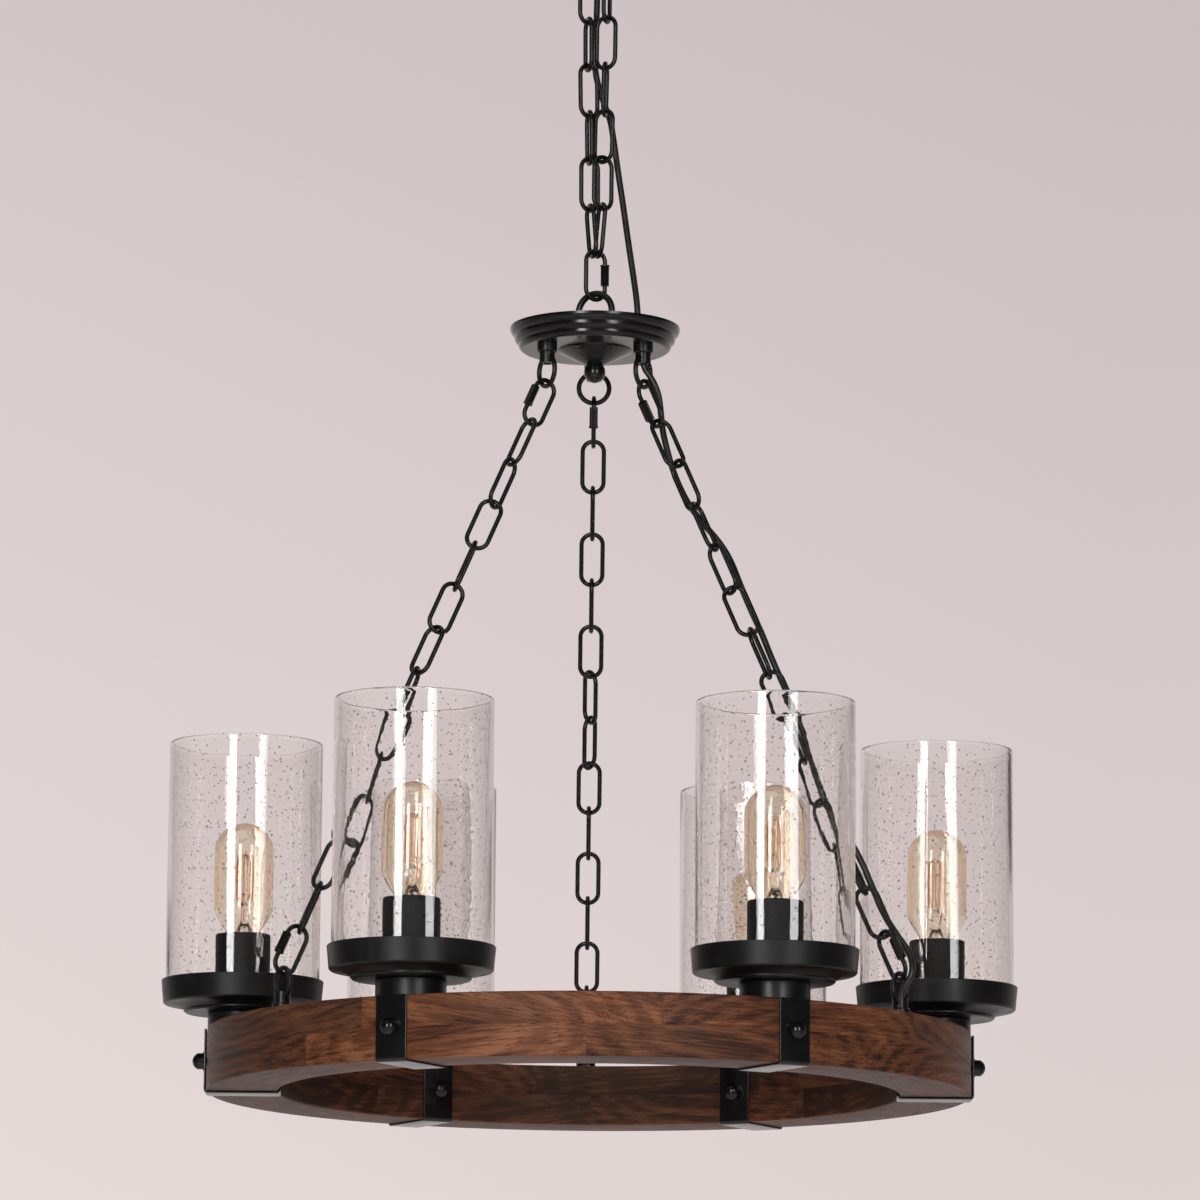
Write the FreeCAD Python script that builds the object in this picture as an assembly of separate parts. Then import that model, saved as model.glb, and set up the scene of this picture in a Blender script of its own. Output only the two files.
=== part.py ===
"""Six-light chandelier: a laminated timber rim hung on three chains from a small round hub.

Millimetres, +Z up. The origin is the centre of the ceiling plane, so everything hangs at
negative Z, and -Y is the front. Heights are worked out from the ceiling down: canopy, loop,
doubled main chain, hub, three hanging chains, rim, lamps.
"""
import FreeCAD, Part
import math
import os

Vec = FreeCAD.Vector
UP = Vec(0, 0, 1)
DOWN = Vec(0, 0, -1)

# ---------------------------------------------------------------- driving sizes
# timber rim
rim_diameter = 580.0
rim_height = 47.0
rim_width = 54.0
staves_per_layer = 8
upper_joint_angle = 279.7
lower_joint_angle = 269.0
channel_width = 23.0
channel_height = 11.0
nut_pocket_radius = 10.0
nut_pocket_depth = 9.0

# places of the six lamps and three chains round the rim
lamp_count = 6
first_lamp_angle = 0.0
ring_line_inset = 25.5
chain_angles = {"left": 210.0, "right": 330.0, "back": 90.0}

# chain of bent wire, and the screw links that join it
wire_diameter = 3.5
link_length = 44.8
link_width = 20.1
link_seam = 0.4
link_clearance = 0.25
links_per_hanging_chain = 12
screw_link_length = 42.0
screw_link_opening = 6.0
screw_nut_length = 15.0
screw_nut_across_flats = 6.4
screw_nut_clearance = 0.1
screw_flange_diameter = 7.4
screw_flange_thickness = 1.0
screw_flange_gap = 0.3

# doubled main chain, from the top pair of links down: each link's turn about the vertical, and
# how far each joint between links stands to the side of the middle
main_turns = {
    "left": (133, 37, 106, 38, 102, 38, 108),
    "right": (133, 73, 149, 81, 143, 35, 108),
}
main_spread = (7.2, 7.0, 6.7, 5.9, 5.2, 5.0)
main_depth = {"left": 3.0, "right": -3.0}
main_hook_offset = 1.95
top_screw_link_turn = 38.0
hub_screw_link_turn = 28.0

# hanging chains: turn of each link about its own chain, from the hub down
hanging_turns = {
    "left": (85, 148, 208, 298, 370, 430, 490, 567, 657, 718, 779, 840),
    "right": (120, 205, 267, 387, 505, 595, 685, 775, 850, 915, 980, 1042),
    "back": (90, 180, 270, 360, 450, 510, 570, 630, 720, 810, 900, 990),
}
hub_end_turns = {"left": 0, "right": 210, "back": 0}
rim_end_turns = {"left": 0, "right": 24, "back": 0}
hub_end_nut_offset = {"left": 2.5, "right": -2.5, "back": 2.5}
rim_end_nut_offset = 2.5

# round loops on the canopy and on the hub
loop_outer_diameter = 34.0
loop_wire_diameter = 5.1
loop_sink = 1.5
loop_collar_diameter = 17.0
loop_collar_top_diameter = 12.4
loop_collar_height = 5.0
loop_collar_band = 3.2
canopy_loop_turn = 100.0
hub_loop_turn = -28.0

# eyes that carry the hanging chains
eye_collar_diameter = 15.4
eye_collar_height = 6.5
eye_collar_chamfer = 0.8
eye_barrel_diameter = 12.0
eye_barrel_height = 15.0
eye_ring_diameter = 27.4
eye_ring_wire = 3.8
eye_ring_height = 21.0
eye_stud_diameter = 8.0
eye_bore = 6.4
eye_nut_across_flats = 11.0

# ceiling canopy and the set inside it
canopy_diameter = 130.0
canopy_height = 26.0
canopy_wall = 1.2
canopy_flat_inset = 14.0
crossbar_length = 104.0
crossbar_width = 20.0
crossbar_thickness = 2.0
box_screw_spacing = 88.9
box_slot_width = 4.8
box_slot_length = 12.0
rod_diameter = 9.6
rod_bore = 6.2
rod_nut_across_flats = 14.0
rod_in_loop = 3.5
nut_height = 4.0
nut_clearance = 0.05
hole_clearance = 0.15

# cord entries and splice blocks
cord_hole_offset = 17.0
cord_diameter = 5.0
bush_bore = 6.0
bush_diameter = 14.0
bush_neck_diameter = 10.0
bush_flange = 2.0
bush_grip = 2.0
canopy_splice_size = (24.0, 19.0, 9.0)
splice_edge = 1.5
hub_splice_height = 4.15
hub_splice_margin = 5.5
hub_splice_width = 20.0
supply_entry_x = 33.0
supply_entry_y = -9.0

# hub
hub_radius = 65.8
hub_depth = 17.5
hub_wall = 1.3
hub_bottom_radius = 55.5
hub_cover_recess = 4.85
hub_cover_thickness = 1.5
hub_cover_gap = 0.3
hub_ledge_width = 2.2
hub_eye_radius = 42.8
hub_cone_radius = 29.5
hub_cone_height = 11.5
hub_cone_tip_radius = 6.9
hub_ball_diameter = 16.6
hub_ball_seat_radius = 6.0
tie_rod_diameter = 6.0
tie_rod_in_ball = 8.0
tie_rod_in_loop = 3.0
tie_nut_across_flats = 10.0
stud_past_nut = 0.6

# straps round the rim
strap_width = 25.5
strap_thickness = 1.6
strap_bend = 3.0
strap_gap = 0.6
strap_inner_gap = 0.3
screw_head_diameter = 12.4
screw_head_height = 8.2
screw_dome_height = 4.2
screw_washer_diameter = 14.5
screw_washer_thickness = 1.2
screw_shank_diameter = 5.0
screw_point_length = 2.5
screw_point_diameter = 2.6
screw_bite = 12.5

# lamps
neck_diameter = 52.0
neck_height = 13.3
neck_wall = 1.5
cup_step_radius = 43.0
cup_bottom_radius = 60.2
cup_bottom_height = 20.2
cup_flare = 1.55
cup_wall_height = 17.9
cup_wall = 1.2
shade_clearance = 0.4
shade_wall = 3.0
shade_height = 199.0
socket_sleeve_diameter = 41.6
socket_sleeve_wall = 1.2
socket_top_height = 73.3
socket_body_diameter = 34.0
socket_bore_diameter = 27.4
socket_lip_radius = 15.5
socket_rod_depth = 8.0
lead_hole_diameter = 3.0
bulb_depth_in_socket = 24.3
bulb_cap_diameter = 26.0
bulb_cap_length = 27.0
bulb_diameter = 44.9
bulb_length = 110.0
bulb_wall = 0.8
bulb_neck_diameter = 27.2
bulb_shoulder_height = 16.0
contact_height = 2.2
pocket_washer_radius = 9.0
pocket_washer_thickness = 1.2
lamp_rod_clearance = 0.5

# filament cage on its glass stem
filament_strips = 6
filament_spread = 9.0
filament_wire = 1.2
filament_ring_wire = 1.6
filament_spoke_wire = 0.9
filament_start = 22.5
filament_below_top = 24.0
stem_radius = 3.2

# wiring between the two layers of timber
wiring_diameter = 3.6
wiring_margin = 3.0
lead_diameter = 2.6
lead_bend = 5.0
lead_slot_height = 6.0

# free cords, each point chosen along the way the cord hangs
supply_route_upper = [
    (0.0, 17.0, -11.0), (0.0, 17.0, -29.0), (2.6, 17.6, -43.0), (3.6, 15.6, -59.0), (1.4, 13.4, -84.0),
    (-0.4, 13.6, -115.0), (-0.2, 13.2, -149.0), (-1.2, 13.7, -173.0), (-2.0, 13.5, -197.0),
    (0.6, 13.3, -213.0), (6.2, 13.0, -229.5), (10.8, 12.2, -241.5), (13.0, 11.5, -255.0),
    (15.1, 10.4, -270.0),
]
supply_route_lower = [
    (15.1, 10.4, -270.0), (17.2, 9.3, -285.0), (20.9, 6.5, -309.5), (25.2, 2.5, -341.0),
    (29.7, -3.0, -372.0), (32.0, -7.4, -389.5), (33.0, -9.0, -403.3), (33.0, -9.0, -417.48),
]
drop_route = [
    (37.1, -21.4, -421.63), (37.1, -21.4, -433.5), (37.3, -21.5, -446.0), (43.2, -22.8, -454.0),
    (49.0, -22.5, -466.0), (51.0, -20.9, -480.5), (52.3, -21.2, -495.5), (55.5, -25.0, -510.0),
    (59.5, -26.2, -525.0), (65.2, -27.1, -540.0), (73.0, -30.5, -556.0), (83.5, -34.0, -570.5),
    (95.0, -39.5, -584.5), (104.0, -47.5, -600.0), (111.5, -53.5, -621.0), (119.5, -57.5, -641.0),
    (128.2, -62.6, -661.0), (135.5, -68.5, -681.5), (145.5, -72.5, -704.5), (155.0, -79.0, -726.5),
    (162.0, -83.5, -748.0), (172.5, -87.0, -772.5), (182.0, -93.5, -795.0), (190.0, -100.0, -818.0),
    (201.5, -105.5, -839.5), (210.5, -110.0, -862.5), (217.5, -114.0, -880.5), (226.2, -119.6, -895.5),
    (234.0, -127.5, -907.5), (238.0, -133.5, -917.5), (238.0, -136.5, -928.0), (233.0, -134.4, -936.5),
    (229.1, -132.2, -945.0), (229.1, -132.2, -954.2),
]

# ---------------------------------------------------------------- worked-out sizes
rim_radius = rim_diameter / 2
rim_inner_radius = rim_radius - rim_width
ring_line = rim_radius - ring_line_inset
wire_radius = wire_diameter / 2
link_bend = (link_width - wire_diameter) / 2
link_reach = link_length - wire_diameter
screw_link_reach = screw_link_length - wire_diameter
hook_step = wire_diameter + link_clearance
loop_bend = (loop_outer_diameter - loop_wire_diameter) / 2
loop_centre = loop_collar_height - loop_sink + loop_bend
eye_bend = (eye_ring_diameter - eye_ring_wire) / 2
lamp_angles = [first_lamp_angle + i * 360.0 / lamp_count for i in range(lamp_count)]
eye_hook = eye_ring_wire / 2 + wire_radius + link_clearance
loop_hook = loop_wire_diameter / 2 + wire_radius + link_clearance
hook_sag = link_bend - math.sqrt((link_bend - hook_step) ** 2 - main_hook_offset ** 2)
rod_hole = rod_diameter / 2 + hole_clearance
tie_rod_hole = tie_rod_diameter / 2 + hole_clearance
stud_hole = eye_stud_diameter / 2 + hole_clearance

os.makedirs("parts", exist_ok=True)


# ---------------------------------------------------------------- helpers
def polar(radius, angle, z=0.0):
    """Point at a radius and an angle in degrees."""
    return Vec(radius * math.cos(math.radians(angle)), radius * math.sin(math.radians(angle)), z)


def placed(shape, where=Vec(0, 0, 0), turn=0.0):
    """Copy of a shape, turned about Z and then moved."""
    copy = shape.copy()
    copy.Placement = FreeCAD.Placement(where, FreeCAD.Rotation(UP, turn)).multiply(copy.Placement)
    return copy


def upside_down(shape):
    """Copy of a shape, turned over about X."""
    copy = shape.copy()
    copy.rotate(Vec(0, 0, 0), Vec(1, 0, 0), 180)
    return copy


def disc(radius, bottom, top, x=0.0, y=0.0):
    """Upright cylinder between two heights."""
    return Part.makeCylinder(radius, top - bottom, Vec(x, y, bottom))


def tube(radius, bore_radius, bottom, top):
    """Upright cylinder with a bore right through."""
    return disc(radius, bottom, top).cut(disc(bore_radius, bottom - 1, top + 1))


def spun(start, *steps):
    """Solid of revolution. A step is (r, z), or (r, z of a point on an arc, r, z of its end)."""
    edges = []
    here = start
    for step in steps + (start,):
        end = step[-2:]
        if len(step) == 4:
            middle = Vec(step[0], 0, step[1])
            edges.append(Part.Arc(Vec(here[0], 0, here[1]), middle, Vec(end[0], 0, end[1])).toShape())
        elif math.dist(here, end) > 1e-6:
            edges.append(Part.LineSegment(Vec(here[0], 0, here[1]), Vec(end[0], 0, end[1])).toShape())
        here = end
    solid = Part.Face(Part.Wire(edges)).revolve(Vec(0, 0, 0), UP, 360)
    return solid if solid.Volume > 0 else solid.reversed()


def hexagon(across_flats, height, thread_diameter, bottom=0.0):
    """Hexagon nut with both ends chamfered."""
    corner = across_flats / math.sqrt(3)
    points = [polar(corner, 60 * i, bottom) for i in range(7)]
    prism = Part.Face(Part.makePolygon(points)).extrude(UP * height)
    chamfer = corner - across_flats / 2
    top = bottom + height
    trim = spun((0, bottom), (across_flats / 2, bottom), (corner, bottom + chamfer),
                (corner, top - chamfer), (across_flats / 2, top), (0, top))
    return prism.common(trim).cut(disc(thread_diameter / 2 + nut_clearance, bottom - 1, top + 1))


def cut_where_met(shape, cutters):
    """Cuts a shape by each cutter whose box meets its own."""
    for cutter in cutters:
        if shape.BoundBox.intersect(cutter.BoundBox):
            shape = shape.cut(cutter)
    return shape


def save(node, shapes):
    """Writes one node, a solid or a group of separate solids."""
    solids = [solid for shape in shapes for solid in shape.Solids]
    for solid in solids:
        if not solid.isValid() or solid.Volume <= 0:
            raise ValueError("bad solid in " + node)
    group = solids[0] if len(solids) == 1 else Part.makeCompound(solids)
    group.exportStep("parts/" + node + ".step")
    print(node, len(solids), "solids", round(sum(s.Volume for s in solids) / 1000, 2), "cm3")


# ---------------------------------------------------------------- chain
def oval_link(length):
    """Closed oval of wire, long along Z and wide along X, centred on the origin."""
    half_run = (length - link_width) / 2
    sides = [Part.makeCylinder(wire_radius, 2 * half_run, Vec(x, 0, -half_run))
             for x in (-link_bend, link_bend)]
    ends = []
    for z, angle in ((half_run, 0), (-half_run, 180)):
        bend = Part.makeTorus(link_bend, wire_radius, Vec(0, 0, 0), UP, -180, 180, 180)
        bend.rotate(Vec(0, 0, 0), Vec(1, 0, 0), 90)
        bend.rotate(Vec(0, 0, 0), Vec(0, 1, 0), angle)
        bend.translate(Vec(0, 0, z))
        ends.append(bend)
    return sides[0].multiFuse(sides[1:] + ends).removeSplitter()


def side_cut(height, z):
    """Box that opens one side of a link over a stretch of its wire."""
    size = 2 * wire_diameter
    return Part.makeBox(size, size, height, Vec(link_bend - size / 2, -size / 2, z - height / 2))


def chain_link():
    """Oval link with the open seam where its bent wire meets."""
    return oval_link(link_length).cut(side_cut(link_seam, 0))


def screw_link(nut_at):
    """Oval screw link, open behind its nut, with a small flange beyond one end of the nut."""
    side = -1 if nut_at > 0 else 1
    half_flange = screw_flange_thickness / 2
    flange_at = nut_at + side * (screw_nut_length / 2 + screw_flange_gap + half_flange)
    flange = placed(disc(screw_flange_diameter / 2, flange_at - half_flange, flange_at + half_flange),
                    Vec(link_bend, 0, 0))
    return oval_link(screw_link_length).fuse(flange).cut(side_cut(screw_link_opening, nut_at))


def screw_nut(nut_at):
    """Long hexagon nut that closes a screw link."""
    thread = wire_diameter + 2 * (screw_nut_clearance - nut_clearance)
    nut = hexagon(screw_nut_across_flats, screw_nut_length, thread, nut_at - screw_nut_length / 2)
    return placed(nut, Vec(link_bend, 0, 0))


def hung(shape, top_crown, direction, side, reach):
    """Places a link by the middle of its top bend, the way it hangs and the side its width points."""
    down = Vec(direction).normalize()
    wide = (side - down * side.dot(down)).normalize()
    back = (down * -1).cross(wide)
    copy = shape.copy()
    turn = FreeCAD.Rotation(FreeCAD.Matrix(wide.x, back.x, -down.x, 0, wide.y, back.y, -down.y, 0,
                                           wide.z, back.z, -down.z, 0, 0, 0, 0, 1))
    copy.Placement = FreeCAD.Placement(top_crown + down * (reach / 2), turn).multiply(copy.Placement)
    return copy


def hung_screw_link(nut_at, top_crown, direction, side):
    """Screw link and its nut, hung by the middle of the top bend."""
    return [hung(shape, top_crown, direction, side, screw_link_reach)
            for shape in (screw_link(nut_at), screw_nut(nut_at))]


# ---------------------------------------------------------------- loops, eyes and cords
def loop():
    """Round loop on a knurled collar. Z = 0 is the collar's foot and the ring stands above it."""
    collar = spun((0, 0), (loop_collar_diameter / 2, 0), (loop_collar_diameter / 2, loop_collar_band),
                  (loop_collar_top_diameter / 2, loop_collar_height), (0, loop_collar_height))
    ring = Part.makeTorus(loop_bend, loop_wire_diameter / 2, Vec(0, 0, loop_centre), Vec(0, 1, 0))
    return collar.fuse(ring)


def eye(stud_length):
    """Hollow eye: collar, barrel, round ring across the barrel's end, threaded stud below."""
    collar = eye_collar_diameter / 2
    barrel = eye_barrel_diameter / 2
    body = spun((0, -stud_length), (eye_stud_diameter / 2, -stud_length), (eye_stud_diameter / 2, 0),
                (collar, 0), (collar, eye_collar_height - eye_collar_chamfer),
                (collar - eye_collar_chamfer, eye_collar_height), (barrel, eye_collar_height),
                (barrel, eye_barrel_height), (0, eye_barrel_height))
    ring = Part.makeTorus(eye_bend, eye_ring_wire / 2, Vec(0, 0, eye_ring_height), Vec(0, 1, 0))
    bore = disc(eye_bore / 2, -stud_length - 1, eye_barrel_height + 1)
    return body.fuse(ring).cut(bore)


def swept(edges, diameter):
    """Round bar along a path of joined edges, square to the path's start."""
    path = Part.Wire(edges)
    start = path.OrderedVertexes[0].Point
    first = path.OrderedEdges[0]
    section = Part.Wire(Part.Circle(start, first.tangentAt(first.FirstParameter), diameter / 2).toShape())
    solid = Part.Solid(path.makePipeShell([section], True, False).Shells[0])
    if solid.Volume < 0:
        solid.reverse()
    return solid, path.Length


def cord_tube(route, name):
    """Round cord along straight runs joined by tangent arcs. Prints its radii and checks its volume."""
    points = [Vec(*p) for p in route]
    edges = []
    radii = []
    start = points[0]
    for before, corner, after in zip(points, points[1:], points[2:]):
        entering = (corner - before).normalize()
        leaving = (after - corner).normalize()
        half_turn = entering.getAngle(leaving) / 2
        trim = 0.45 * min((corner - before).Length, (after - corner).Length)
        radius = trim / math.tan(half_turn)
        radii.append(radius)
        first = corner - entering * trim
        last = corner + leaving * trim
        middle = corner + (leaving - entering).normalize() * (radius / math.cos(half_turn) - radius)
        edges.append(Part.LineSegment(start, first).toShape())
        edges.append(Part.Arc(first, middle, last).toShape())
        start = last
    edges.append(Part.LineSegment(start, points[-1]).toShape())
    solid, length = swept(edges, cord_diameter)
    ratio = solid.Volume / (length * math.pi * cord_diameter ** 2 / 4)
    print(name, "length", round(length, 1), "radii", [round(r) for r in radii], "ratio", round(ratio, 4))
    return solid


# ---------------------------------------------------------------- ceiling set
canopy_foot = -canopy_height
canopy_radius = canopy_diameter / 2
canopy_floor = canopy_foot + canopy_wall
bar_bottom = -crossbar_thickness
bush_neck = bush_neck_diameter / 2


def canopy_profile(inset, floor):
    """Stepped outer line of the canopy, moved in by a wall."""
    lip, step = canopy_radius - 3.0, canopy_radius - 7.0
    flat = canopy_radius - canopy_flat_inset
    line = ((canopy_radius, 0), (canopy_radius, -3.0), (lip, -5.5), (lip, -8.5), (step, -14.0), (step, -17.0))
    steps = [(r - inset, z) for r, z in line]
    return steps + [(flat + 4.6 - inset, floor + 2.6, flat - inset, floor)]


canopy = spun((0, 0), *canopy_profile(0, canopy_foot), (0, canopy_foot))
canopy = canopy.cut(spun((0, 1), (canopy_radius - canopy_wall, 1), *canopy_profile(canopy_wall, canopy_floor),
                         (0, canopy_floor)))
canopy = canopy.cut(disc(rod_hole, canopy_foot - 1, 0))
canopy = canopy.cut(disc(bush_neck + 0.1, canopy_foot - 1, 0, 0, cord_hole_offset))

crossbar = Part.makeBox(crossbar_length, crossbar_width, crossbar_thickness,
                        Vec(-crossbar_length / 2, -crossbar_width / 2, bar_bottom))
slot_straight = box_slot_length - box_slot_width
for side in (-1, 1):
    centre_x = side * box_screw_spacing / 2
    slot = Part.makeBox(slot_straight, box_slot_width, 3 * crossbar_thickness,
                        Vec(centre_x - slot_straight / 2, -box_slot_width / 2, 2 * bar_bottom))
    slot_ends = [disc(box_slot_width / 2, 2 * bar_bottom, crossbar_thickness, centre_x + x)
                 for x in (-slot_straight / 2, slot_straight / 2)]
    crossbar = crossbar.cut(slot.multiFuse(slot_ends))
crossbar = crossbar.cut(disc(rod_hole, 2 * bar_bottom, 1))

canopy_rod = tube(rod_diameter / 2, rod_bore / 2, canopy_foot - rod_in_loop, 0)
canopy_nut = hexagon(rod_nut_across_flats, nut_height, rod_diameter)
canopy_nuts = [placed(canopy_nut, Vec(0, 0, z)) for z in (bar_bottom - nut_height, canopy_floor)]
canopy_loop = placed(upside_down(loop()), Vec(0, 0, canopy_foot), canopy_loop_turn)
canopy_loop = canopy_loop.cut(disc(rod_diameter / 2 + nut_clearance, canopy_foot - rod_in_loop, 0))

canopy_bush = spun((bush_bore / 2, -bush_flange), (bush_neck + 1.2, -bush_flange), (bush_diameter / 2, -0.8),
                   (bush_diameter / 2, 0), (bush_neck, 0), (bush_neck, canopy_wall + bush_grip),
                   (bush_bore / 2, canopy_wall + bush_grip))
canopy_bush = placed(canopy_bush, Vec(0, cord_hole_offset, canopy_foot))
block_length, block_width, block_height = canopy_splice_size
block_corner = Vec(-block_length / 2, cord_hole_offset - block_width / 2, bar_bottom - block_height)
canopy_splice = Part.makeBox(block_length, block_width, block_height, block_corner)
upright_edges = [e for e in canopy_splice.Edges if abs(e.tangentAt(e.FirstParameter).z) > 0.9]
canopy_splice = canopy_splice.makeFillet(splice_edge, upright_edges)

save("ceiling_crossbar", [crossbar])
save("ceiling_canopy", [canopy])
save("canopy_threaded_rod", [canopy_rod])
save("canopy_nuts", canopy_nuts)
save("canopy_loop", [canopy_loop])
save("canopy_cord_bush", [canopy_bush])
save("canopy_splice_block", [canopy_splice])

# ---------------------------------------------------------------- doubled main chain
top_crown = Vec(0, 0, canopy_foot - loop_centre - loop_bend + loop_hook)
top_side = polar(1, top_screw_link_turn)
hub_side = polar(1, hub_screw_link_turn)
strand_top = top_crown.z - screw_link_reach + hook_sag


def main_strand(name, sign):
    """One strand of the doubled chain. Returns its links and the height of its last bend."""
    hooks = [top_side * (sign * main_hook_offset), hub_side * (sign * main_hook_offset)]
    between = [Vec(sign * spread, main_depth[name], 0) for spread in main_spread]
    joints = [hooks[0]] + between + [hooks[1]]
    shape = chain_link()
    links = []
    height = strand_top
    for upper, lower, turn in zip(joints, joints[1:], main_turns[name]):
        step = lower - upper
        drop = math.sqrt(link_reach ** 2 - step.Length ** 2)
        links.append(hung(shape, upper + UP * height, step + DOWN * drop, polar(1, turn), link_reach))
        height += hook_step - drop
    return links, height - hook_step


strands = {}
for name, sign in (("left", -1), ("right", 1)):
    strands[name], strand_foot = main_strand(name, sign)
    save("main_chain_" + name, strands[name])

hub_crown = Vec(0, 0, strand_foot + hook_sag)
top_link, top_nut = hung_screw_link(0, top_crown, DOWN, top_side)
hub_link, hub_nut = hung_screw_link(0, hub_crown, DOWN, hub_side)
save("main_screw_link_top", [top_link])
save("main_screw_link_hub", [hub_link])
save("main_screw_link_nuts", [top_nut, hub_nut])

# ---------------------------------------------------------------- hub
cover_top = hub_crown.z - screw_link_reach + loop_hook - loop_bend - loop_centre
cover_bottom = cover_top - hub_cover_thickness
hub_rim = cover_top + hub_cover_recess
hub_foot = hub_rim - hub_depth
hub_floor = hub_foot + hub_wall
band = hub_radius - 3.4
waist = hub_radius - 6.6
hub_line = ((hub_radius, -2.0), (hub_radius - 1.6, -5.0, band, -6.4), (band, -8.4),
            (hub_radius - 4.6, -11.2, waist, -12.6), (waist, -14.0))


def hub_profile(inset, floor):
    """Stepped outer line of the hub below its lip, moved in by a wall."""
    moved = []
    for step in hub_line:
        pairs = [(step[i] - inset, step[i + 1] + hub_rim) for i in range(0, len(step), 2)]
        moved.append(tuple(value for pair in pairs for value in pair))
    return moved + [(waist - inset - 1.1, floor + 1.1, hub_bottom_radius - inset, floor)]


hub_dish = spun((0, hub_rim), (hub_radius, hub_rim), *hub_profile(0, hub_foot), (0, hub_foot))
hub_dish = hub_dish.cut(spun((0, hub_rim + 1), (hub_radius - hub_wall, hub_rim + 1),
                             *hub_profile(hub_wall, hub_floor), (0, hub_floor)))
cover_radius = band - hub_wall - hub_cover_gap
hub_dish = hub_dish.fuse(tube(cover_radius + hub_cover_gap + hub_wall / 2, cover_radius - hub_ledge_width,
                              cover_bottom - hub_wall, cover_bottom))
hub_dish = hub_dish.cut(disc(tie_rod_hole, hub_foot - 1, hub_rim))
for angle in chain_angles.values():
    spot = polar(hub_eye_radius, angle)
    hub_dish = hub_dish.cut(disc(stud_hole, hub_foot - 1, hub_floor + 1, spot.x, spot.y))

supply_entry = Vec(supply_entry_x, supply_entry_y, cover_top)
hub_cover = tube(cover_radius, tie_rod_hole, cover_bottom, cover_top)
bush_hole = disc(bush_neck + 0.1, cover_bottom - 1, cover_top + 1, supply_entry_x, supply_entry_y)
hub_cover = hub_cover.cut(bush_hole)
hub_bush = spun((bush_bore / 2, -hub_cover_thickness), (bush_neck, -hub_cover_thickness), (bush_neck, 0),
                (bush_diameter / 2, 0), (bush_diameter / 2, 0.8), (bush_neck + 1.2, bush_flange),
                (bush_bore / 2, bush_flange))
hub_bush = placed(hub_bush, supply_entry)

cone_foot = hub_foot - hub_cone_height
hub_cone = spun((tie_rod_hole, hub_foot), (hub_cone_radius, hub_foot),
                (hub_cone_radius - 1.0, hub_foot - 1.0), (hub_cone_tip_radius, cone_foot),
                (tie_rod_hole, cone_foot))
ball_radius = hub_ball_diameter / 2
ball_centre = cone_foot - math.sqrt(ball_radius ** 2 - hub_ball_seat_radius ** 2)
hub_ball = Part.makeSphere(ball_radius, Vec(0, 0, ball_centre))
hub_ball = hub_ball.cut(disc(hub_ball_diameter, cone_foot, hub_foot))
tie_rod_foot = cone_foot - tie_rod_in_ball
hub_ball = hub_ball.cut(disc(tie_rod_diameter / 2 + nut_clearance, tie_rod_foot, cone_foot + 1))
tie_rod_top = cover_top + tie_rod_in_loop
tie_rod = disc(tie_rod_diameter / 2, tie_rod_foot, tie_rod_top)
hub_loop = placed(loop(), Vec(0, 0, cover_top), hub_loop_turn)
hub_loop = hub_loop.cut(disc(tie_rod_diameter / 2 + nut_clearance, cover_top - 1, tie_rod_top))

hub_stud = hub_wall + nut_height + stud_past_nut
eye_nut = hexagon(eye_nut_across_flats, nut_height, eye_stud_diameter)
hub_eyes = []
hub_nuts = [placed(hexagon(tie_nut_across_flats, nut_height, tie_rod_diameter), Vec(0, 0, hub_floor))]
for angle in chain_angles.values():
    spot = polar(hub_eye_radius, angle, hub_foot)
    hub_eyes.append(placed(upside_down(eye(hub_stud)), spot, angle + 90))
    hub_nuts.append(placed(eye_nut, spot + UP * hub_wall, angle))

right_eye = polar(hub_eye_radius, chain_angles["right"])
splice_start = Vec((supply_entry_x + right_eye.x - hub_splice_width) / 2, right_eye.y - hub_splice_margin,
                   cover_bottom - hub_splice_height)
splice_run = supply_entry_y - right_eye.y + 2 * hub_splice_margin
hub_splice = Part.makeBox(hub_splice_width, splice_run, hub_splice_height, splice_start)

save("hub_dish", [hub_dish])
save("hub_cover", [hub_cover])
save("hub_cord_bush", [hub_bush])
save("hub_loop", [hub_loop])
save("hub_tie_rod", [tie_rod])
save("hub_cone", [hub_cone])
save("hub_ball", [hub_ball])
save("hub_nuts", hub_nuts)
save("hub_eyes", hub_eyes)
save("hub_splice_block", [hub_splice])

# ---------------------------------------------------------------- hanging chains
chain_span = (2 * (screw_link_reach - eye_hook - hook_step) + links_per_hanging_chain * link_reach
              - (links_per_hanging_chain - 1) * hook_step)
chain_drop = math.sqrt(chain_span ** 2 - (ring_line - hub_eye_radius) ** 2)
hub_ring_foot = hub_foot - eye_ring_height - eye_bend
rim_top = hub_ring_foot - chain_drop - eye_bend - eye_ring_height


def side_of(turn, outward, tangent):
    """The way a link's width points, for its turn about its chain."""
    return outward * math.cos(math.radians(turn)) - tangent * math.sin(math.radians(turn))


def hanging_chain(name, angle):
    """Links of one hanging chain, its two screw links and their nuts."""
    high = polar(hub_eye_radius, angle, hub_ring_foot)
    low = polar(ring_line, angle, rim_top + eye_ring_height + eye_bend)
    along = (low - high).normalize()
    tangent = polar(1, angle + 90)
    outward = along.cross(tangent)
    crown = high - along * eye_hook
    side = side_of(hub_end_turns[name], outward, tangent)
    pairs = [hung_screw_link(hub_end_nut_offset[name], crown, along, side)]
    crown += along * (screw_link_reach - hook_step)
    shape = chain_link()
    links = []
    for index in range(links_per_hanging_chain):
        turn = hanging_turns[name][index % len(hanging_turns[name])]
        links.append(hung(shape, crown, along, side_of(turn, outward, tangent), link_reach))
        crown += along * (link_reach - hook_step)
    side = side_of(rim_end_turns[name], outward, tangent)
    pairs.append(hung_screw_link(rim_end_nut_offset, crown, along, side))
    return links, [pair[0] for pair in pairs], [pair[1] for pair in pairs]


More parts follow.
